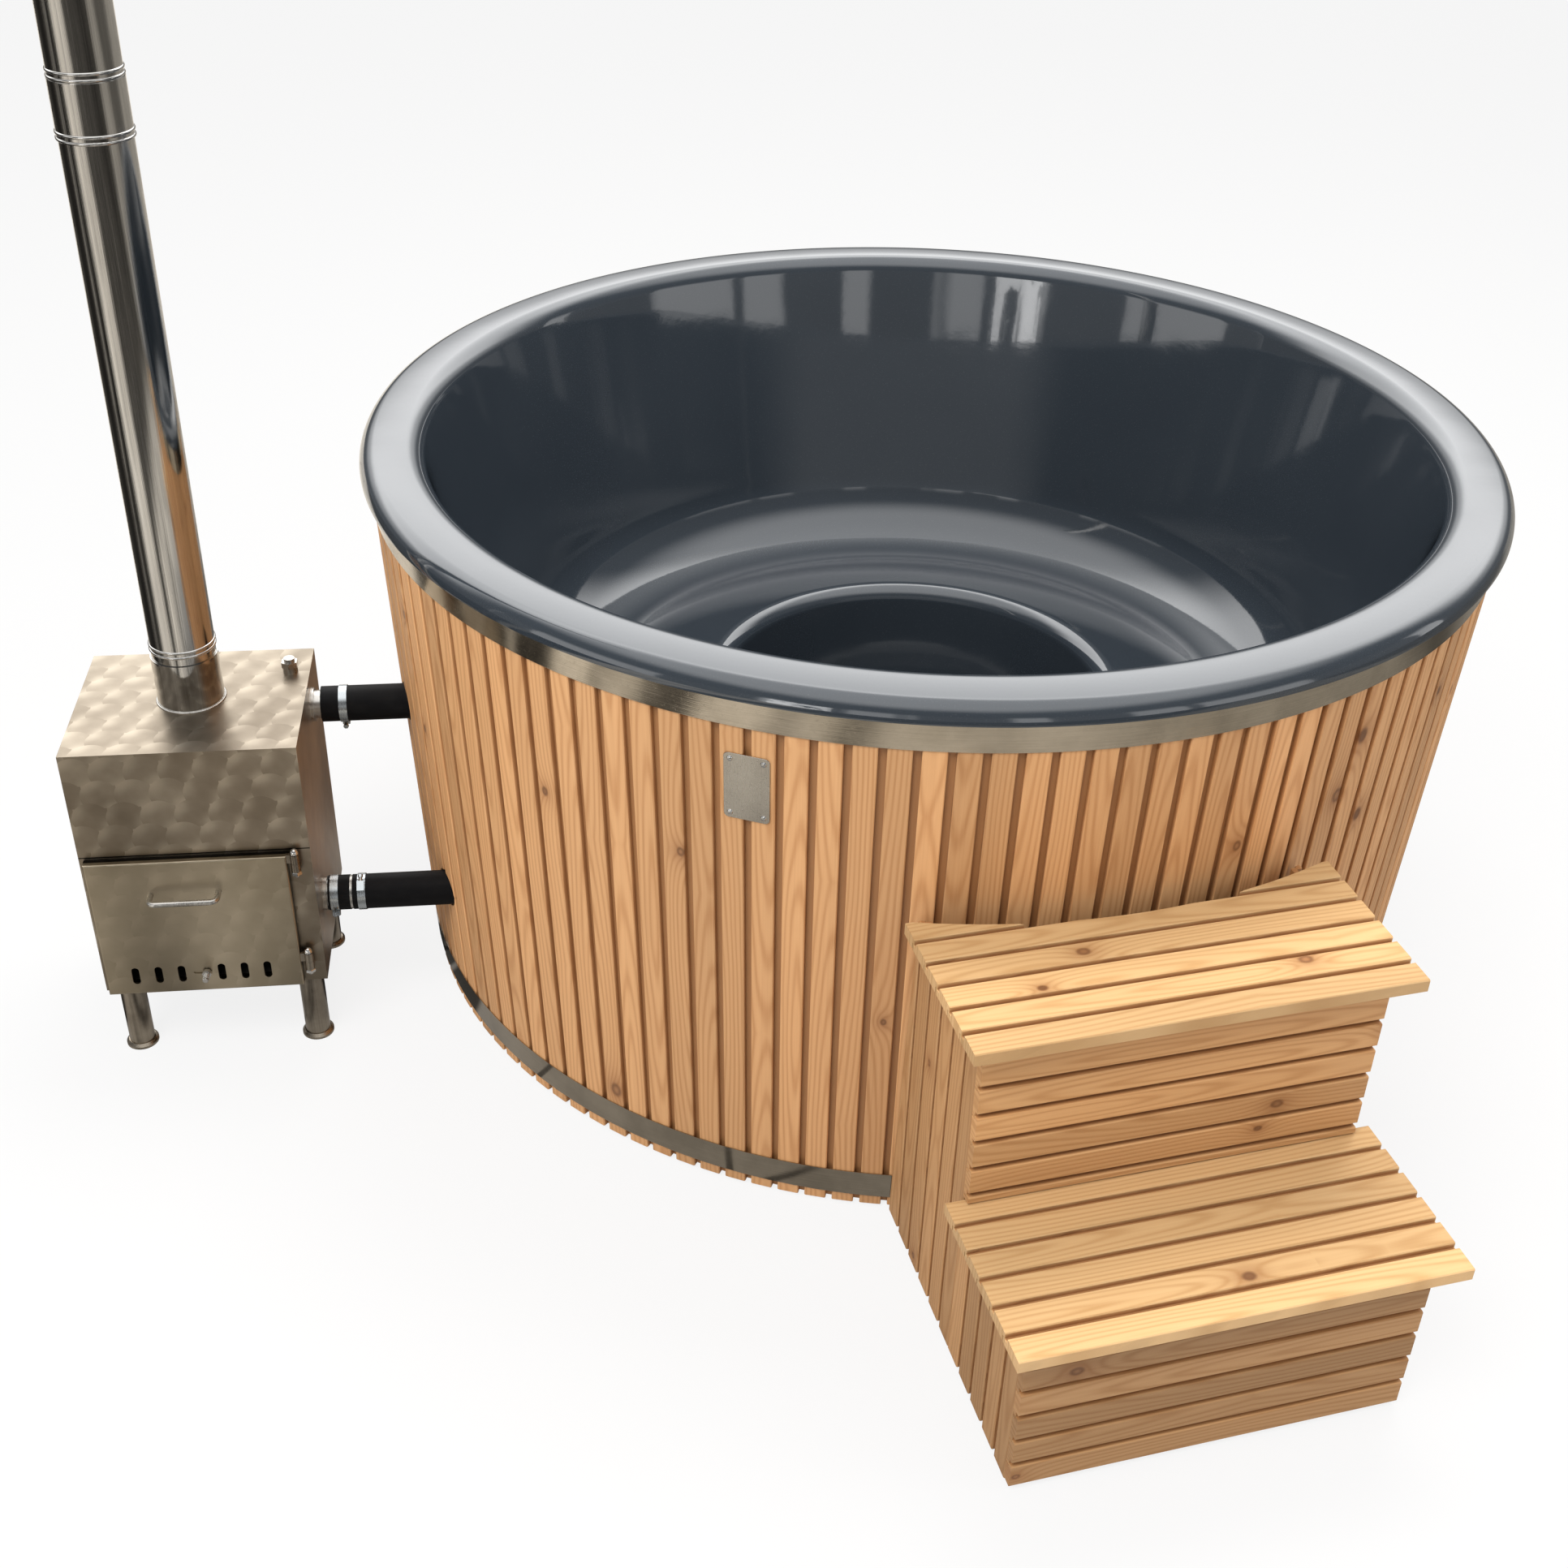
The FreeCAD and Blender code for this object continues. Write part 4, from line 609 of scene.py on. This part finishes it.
def studio_floor():
    """Pale floor; mirrors see it as warm paving, shaded close to the tub and on its right."""
    ground = bpy.data.meshes.new("studio_floor")
    corners = [(-YARD, -YARD, 0), (YARD, -YARD, 0), (YARD, YARD, 0), (-YARD, YARD, 0)]
    ground.from_pydata(corners, [], [(0, 1, 2, 3)])
    floor = bpy.data.objects.new("studio_floor", ground)
    bpy.context.scene.collection.objects.link(floor)
    f = Finish("pale_floor")
    seen = f.any.node("ShaderNodeLightPath", None, None, 0)
    mirrored = f.any.node("ShaderNodeLightPath", None, None, 3)
    speck = f.any.noise(f.x * 40.0, f.y * 40.0, 0.0, 2.0) * 0.02
    shade = speck + 0.66
    grey = f.any.node("ShaderNodeCombineColor", None, {0: shade, 1: shade, 2: shade})
    f.set(Base_Color=grey, Roughness=0.9)
    turn = (f.y - FLUE_Y).angle(f.x - FLUE_X)
    out = (f.x * f.x + f.y * f.y).sqrt()
    strips = bands(f.any, turn, 8.0, 3.4, 0.10, 1.5, 0.52)
    strips = (f.x * -1.0).smooth(0.3, 1.1).between(1.0, strips)
    hedge = (1.0 - abs(turn + 1.30).smooth(0.50, 0.62)) * out.smooth(2.5, 3.2)
    gaps = f.any.noise(turn.cos() * 16.0, turn.sin() * 16.0, 2.0, 1.0).smooth(0.50, 0.60).between(0.10, 0.42)
    beside = (abs(f.x) * 0.6 - abs(f.y)).smooth(0.4, 1.4)
    right = f.x.smooth(0.3, 1.4)
    strips = hedge.between(strips, gaps) * beside.between(1.0, 0.35) * right.between(1.0, 0.58)
    shaded = out.smooth(1.15, 2.3)
    u, v = (f.x * 0.8 + f.y * 0.6) / SLAB, (f.y * 0.8 - f.x * 0.6) / SLAB
    joint = ((u - u.floor()) < JOINT) + ((v - v.floor()) < JOINT)
    slab = f.any.dice(u.floor(), v.floor(), 6.5)[0] * 0.35 + 0.82
    paving = strips * shaded.between(0.28, 0.66) * slab * joint.smooth(0.0, 1.0).between(1.0, 0.30)
    tint = shaded.colour(rgb(0.95, 0.92, 0.88), rgb(1.0, 0.93, 0.82))
    yard = f.any.node("ShaderNodeEmission", None, {"Color": tint.times(paving), "Strength": 1.0})
    glow = f.any.node("ShaderNodeEmission", None, {"Color": rgb(1.0, 1.0, 1.0), "Strength": 1.0})
    body = Val(f.tree, f.shader.outputs[0])
    both = f.any.node("ShaderNodeMixShader", None, {0: mirrored, 1: body, 2: yard})
    both = f.any.node("ShaderNodeMixShader", None, {0: seen * 0.84, 1: both, 2: glow})
    f.tree.links.new(both.socket, f.tree.nodes["Material Output"].inputs["Surface"])
    ground.materials.append(f.material)


def studio_lamps():
    softbox("key_softbox", (-2.6, -3.4, 5.6), (0.0, -0.3, 0.4), 3.0, 3.0, 300.0)
    softbox("overhead_softbox", (0.8, 1.2, 5.6), (0.3, -0.6, 0.3), 3.6, 2.4, 260.0)
    softbox("side_softbox", (4.6, -2.6, 2.8), (0.4, -0.6, 0.5), 1.6, 2.6, 50.0)


def piece(name, verts, faces, finish, body, slot, sharp=SMOOTH):
    """A mesh drawn in place that rides on a body."""
    mesh = bpy.data.meshes.new(name)
    mesh.from_pydata([tuple(v) for v in verts], [], faces)
    mesh.polygons.foreach_set("use_smooth", [True] * len(mesh.polygons))
    mesh.set_sharp_from_angle(angle=math.radians(sharp))
    mesh.materials.append(finishes[finish])
    made = bpy.data.objects.new(name, mesh)
    bpy.context.scene.collection.objects.link(made)
    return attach(made, body)


def join(parts):
    """Several meshes as one list of points and faces."""
    verts, faces = [], []
    for v, f in parts:
        first = len(verts)
        verts += v
        faces += [[first + i for i in face] for face in f]
    return verts, faces


def lathe(profile, at, axis, turns, closed=False):
    """A profile of r and h pairs turned about an axis through a point; r of 0 closes to a tip."""
    axis = Vector(axis).normalized()
    side = axis.orthogonal().normalized()
    other = axis.cross(side)
    verts, rows = [], []
    for r, h in profile:
        middle = Vector(at) + axis * h
        if r == 0.0:
            rows.append([len(verts)] * turns)
            verts.append(middle)
            continue
        rows.append(list(range(len(verts), len(verts) + turns)))
        for i in range(turns):
            a = 2 * math.pi * i / turns
            verts.append(middle + side * (r * math.cos(a)) + other * (r * math.sin(a)))
    pairs = list(zip(rows, rows[1:] + rows[:1])) if closed else list(zip(rows, rows[1:]))
    faces = []
    for low, high in pairs:
        for i in range(turns):
            k = (i + 1) % turns
            corners = [low[i], low[k], high[k], high[i]]
            faces.append([c for j, c in enumerate(corners) if c not in corners[:j]])
    return verts, [f for f in faces if len(f) > 2]


def ring_bead(r, half, at, axis, turns=64):
    """A small round bead lying on a circle."""
    profile = [(r + half * math.cos(a), half * math.sin(a)) for a in (math.pi * k / 5 for k in range(10))]
    return lathe(profile, at, axis, turns, True)


def dome(r, height, at, axis):
    """A flat-bottomed cap."""
    steps = [(r * math.cos(a), height * math.sin(a)) for a in (math.pi * k / 12 for k in range(6))]
    return lathe([(0.0, 0.0)] + steps + [(0.0, height)], at, axis, 24)


def hex_nut(r, at, axis, height):
    """A nut with its corners chamfered."""
    profile = [(r * 0.5, 0.0), (r * 0.88, 0.0), (r, height * 0.16),
               (r, height * 0.84), (r * 0.88, height), (r * 0.5, height)]
    return lathe(profile, at, axis, 6, True)


def name_plate():
    """Bare steel plate across a groove, with four dome screws."""
    turn = math.radians(BOARD_PHASE + PLATE_BOARD * 360.0 / BOARDS)
    lean = math.atan(CLAD_SLOPE)
    flat = Vector((math.cos(turn), math.sin(turn), 0.0))
    out = flat * math.cos(lean) - Vector(UP) * math.sin(lean)
    up = flat * math.sin(lean) + Vector(UP) * math.cos(lean)
    across = up.cross(out)
    at = flat * (CLAD_R + CLAD_SLOPE * PLATE_Z + PLATE_LIFT) + Vector((0, 0, PLATE_Z))
    outline = []
    for quarter, (su, sv) in enumerate(((1, 1), (-1, 1), (-1, -1), (1, -1))):
        for k in range(7):
            a = math.pi / 2 * (quarter + k / 6)
            corner = su * (PLATE_W - PLATE_ROUND), sv * (PLATE_H - PLATE_ROUND)
            outline.append((*corner, math.cos(a), math.sin(a)))
    verts, faces = [], []
    n, last = len(outline), len(PLATE_LEVELS) - 1
    for grow, w in PLATE_LEVELS:
        for cu, cv, du, dv in outline:
            u, v = cu + du * (PLATE_ROUND + grow), cv + dv * (PLATE_ROUND + grow)
            verts.append(at + across * u + up * v + out * w)
    for row in range(last):
        for i in range(n):
            k = (i + 1) % n
            faces.append([row * n + i, row * n + k, (row + 1) * n + k, (row + 1) * n + i])
    faces.append(list(range(last * n, (last + 1) * n)))
    faces.append(list(range(n - 1, -1, -1)))
    piece("name_plate", verts, faces, "plate", "tub", "hoop_steel")
    heads = []
    for u in (-SCREW_U, SCREW_U):
        for v in (-SCREW_V, SCREW_V):
            seat = at + across * u + up * v + out * PLATE_LEVELS[last][1]
            heads.append(dome(0.0046, 0.0024, seat, out))
    piece("name_plate_screws", *join(heads), "bright", "tub", "clamp_steel")


def straight(start, end, step):
    """Points from start to end, without the first."""
    count = max(1, math.ceil((end - start).length / step))
    return [start.lerp(end, (k + 1) / count) for k in range(count)]


def rounded(corners, step):
    """Points along a line of corners, each an r, a z and the radius that rounds it."""
    places = [Vector(corner[:2]) for corner in corners]
    points = [places[0]]
    for i in range(1, len(corners) - 1):
        tip, radius = places[i], corners[i][2]
        back = (places[i - 1] - tip).normalized()
        ahead = (places[i + 1] - tip).normalized()
        half = back.angle(ahead) / 2
        middle = tip + (back + ahead).normalized() * (radius / math.sin(half))
        spoke = tip + back * (radius / math.tan(half)) - middle
        sweep = math.copysign(math.pi - 2 * half, ahead.cross(back))
        points += straight(points[-1], middle + spoke, step)
        count = max(8, math.ceil(abs(sweep) / math.radians(4.0)))
        points += [middle + Matrix.Rotation(sweep * (k + 1) / count, 2) @ spoke for k in range(count)]
    return points + straight(points[-1], places[-1], step)


def backed(corners, thick):
    """The corners of the hidden side of the laminate."""
    places = [Vector(corner[:2]) for corner in corners]
    ways = [(b - a).normalized() for a, b in zip(places, places[1:])]
    made = []
    for i, place in enumerate(places):
        a, b = ways[max(i - 1, 0)], ways[min(i, len(ways) - 1)]
        side = Vector((-a.y - b.y, a.x + b.x)) * (thick / (1.0 + a.dot(b)))
        made.append((*(place + side), corners[i][2] - math.copysign(thick, a.cross(b))))
    return made


def moulded_liner():
    """The bowl with its crowned rim, turned finely enough for clean reflections."""
    def crowned(p):
        top = min(max((p.y - CROWN_FROM) / CROWN_OVER, 0.0), 1.0)
        return p.x, p.y - top * RIM_CROWN * (p.x - RIM_MIDDLE) ** 2, 0.0

    shown = [crowned(p) for p in rounded(LINER_CORNERS, LINER_STEP)]
    hidden = [crowned(p) for p in rounded(backed(LINER_CORNERS, LINER_T), LINER_STEP)]
    floor_z = LINER_CORNERS[-1][1]
    drain = [(DRAIN_HOLE, floor_z, DRAIN_Y), (DRAIN_HOLE, floor_z - LINER_T, DRAIN_Y)]
    rings = shown + drain + hidden[::-1]
    verts = []
    for r, z, shift in rings:
        for i in range(FINE_TURNS):
            a = 2 * math.pi * i / FINE_TURNS
            verts.append(Vector((r * math.cos(a), r * math.sin(a) + shift, z)))

    def holed(middle):
        """Whether a face lies in the way of the return or the suction fitting."""
        for (y, z), way in ((UPPER_HOSE, Vector((1.0, 0.0, 0.0))), (LOWER_HOSE, SUCTION_WAY)):
            start = Vector((0.0, y if way.y == 0.0 else 0.0, z))
            arm = middle - start
            if arm.dot(way) < 0.0 and arm.cross(way).length < FITTING_HOLE:
                return True
        return False

    faces = []
    for row in range(len(rings)):
        low, high = row * FINE_TURNS, (row + 1) % len(rings) * FINE_TURNS
        for i in range(FINE_TURNS):
            k = (i + 1) % FINE_TURNS
            if not holed((verts[low + i] + verts[high + k]) / 2):
                faces.append([low + i, low + k, high + k, high + i])
    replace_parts(piece("moulded_liner", verts, faces, "gelcoat", "tub", "gelcoat"), "liner_shell")


def rim_hoop():
    """The upper hoop, tucked up under the rolled edge of the rim."""
    low, high = (CLAD_R + CLAD_SLOPE * z + HOOP_CLEAR for z in (HOOP_LOW, HOOP_HIGH))
    edge = HOOP_T / 4
    band = [(low, HOOP_LOW), (low + HOOP_T - edge, HOOP_LOW), (low + HOOP_T, HOOP_LOW + edge),
            (high + HOOP_T, HOOP_HIGH - edge), (high + HOOP_T - edge, HOOP_HIGH), (high, HOOP_HIGH)]
    mesh = lathe(band, (0.0, 0.0, 0.0), UP, FINE_TURNS, True)
    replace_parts(piece("rim_hoop", *mesh, "hoop", "tub", "hoop_steel"), "upper_hoop")


def flue_weld():
    """Weld bead where the collar leaves the casing."""
    at = (FLUE_X, FLUE_Y, HEATER_TOP + 0.0008)
    bead = ring_bead(0.0566, 0.0017, at, UP)
    piece("flue_collar_weld", *bead, "bar", "tub", "heater_steel", SOFT)


def hinge_trim():
    """Dome caps over the hinge pins and nuts under their barrels."""
    parts = []
    for foot in HINGE_FEET:
        parts.append(dome(0.0072, 0.0095, (HINGE_X, HINGE_Y, foot + HINGE_BARREL), UP))
        parts.append(hex_nut(0.0092, (HINGE_X, HINGE_Y, foot - 0.0075), UP, 0.007))
        parts.append(dome(0.0050, 0.0060, (HINGE_X, HINGE_Y, foot - 0.0078), (0, 0, -1)))
    piece("hinge_trim", *join(parts), "bright", "tub", "door_steel")


def stud_thread():
    """Thread crests on the air slide's stud."""
    crests = []
    for k in range(STUD_CRESTS):
        at = (STUD_X, STUD_FIRST - STUD_PITCH * k, STUD_Z)
        crests.append(ring_bead(0.0050, 0.00045, at, (0, 1, 0), 28))
    piece("air_slide_thread", *join(crests), "bright", "air_slide", "knob_steel", SOFT)


dress_nodes()
moulded_liner()
rim_hoop()
name_plate()
flue_weld()
hinge_trim()
stud_thread()
look_from_photo()
studio_sky()
studio_floor()
studio_lamps()
bpy.context.scene.view_settings.view_transform = "Standard"
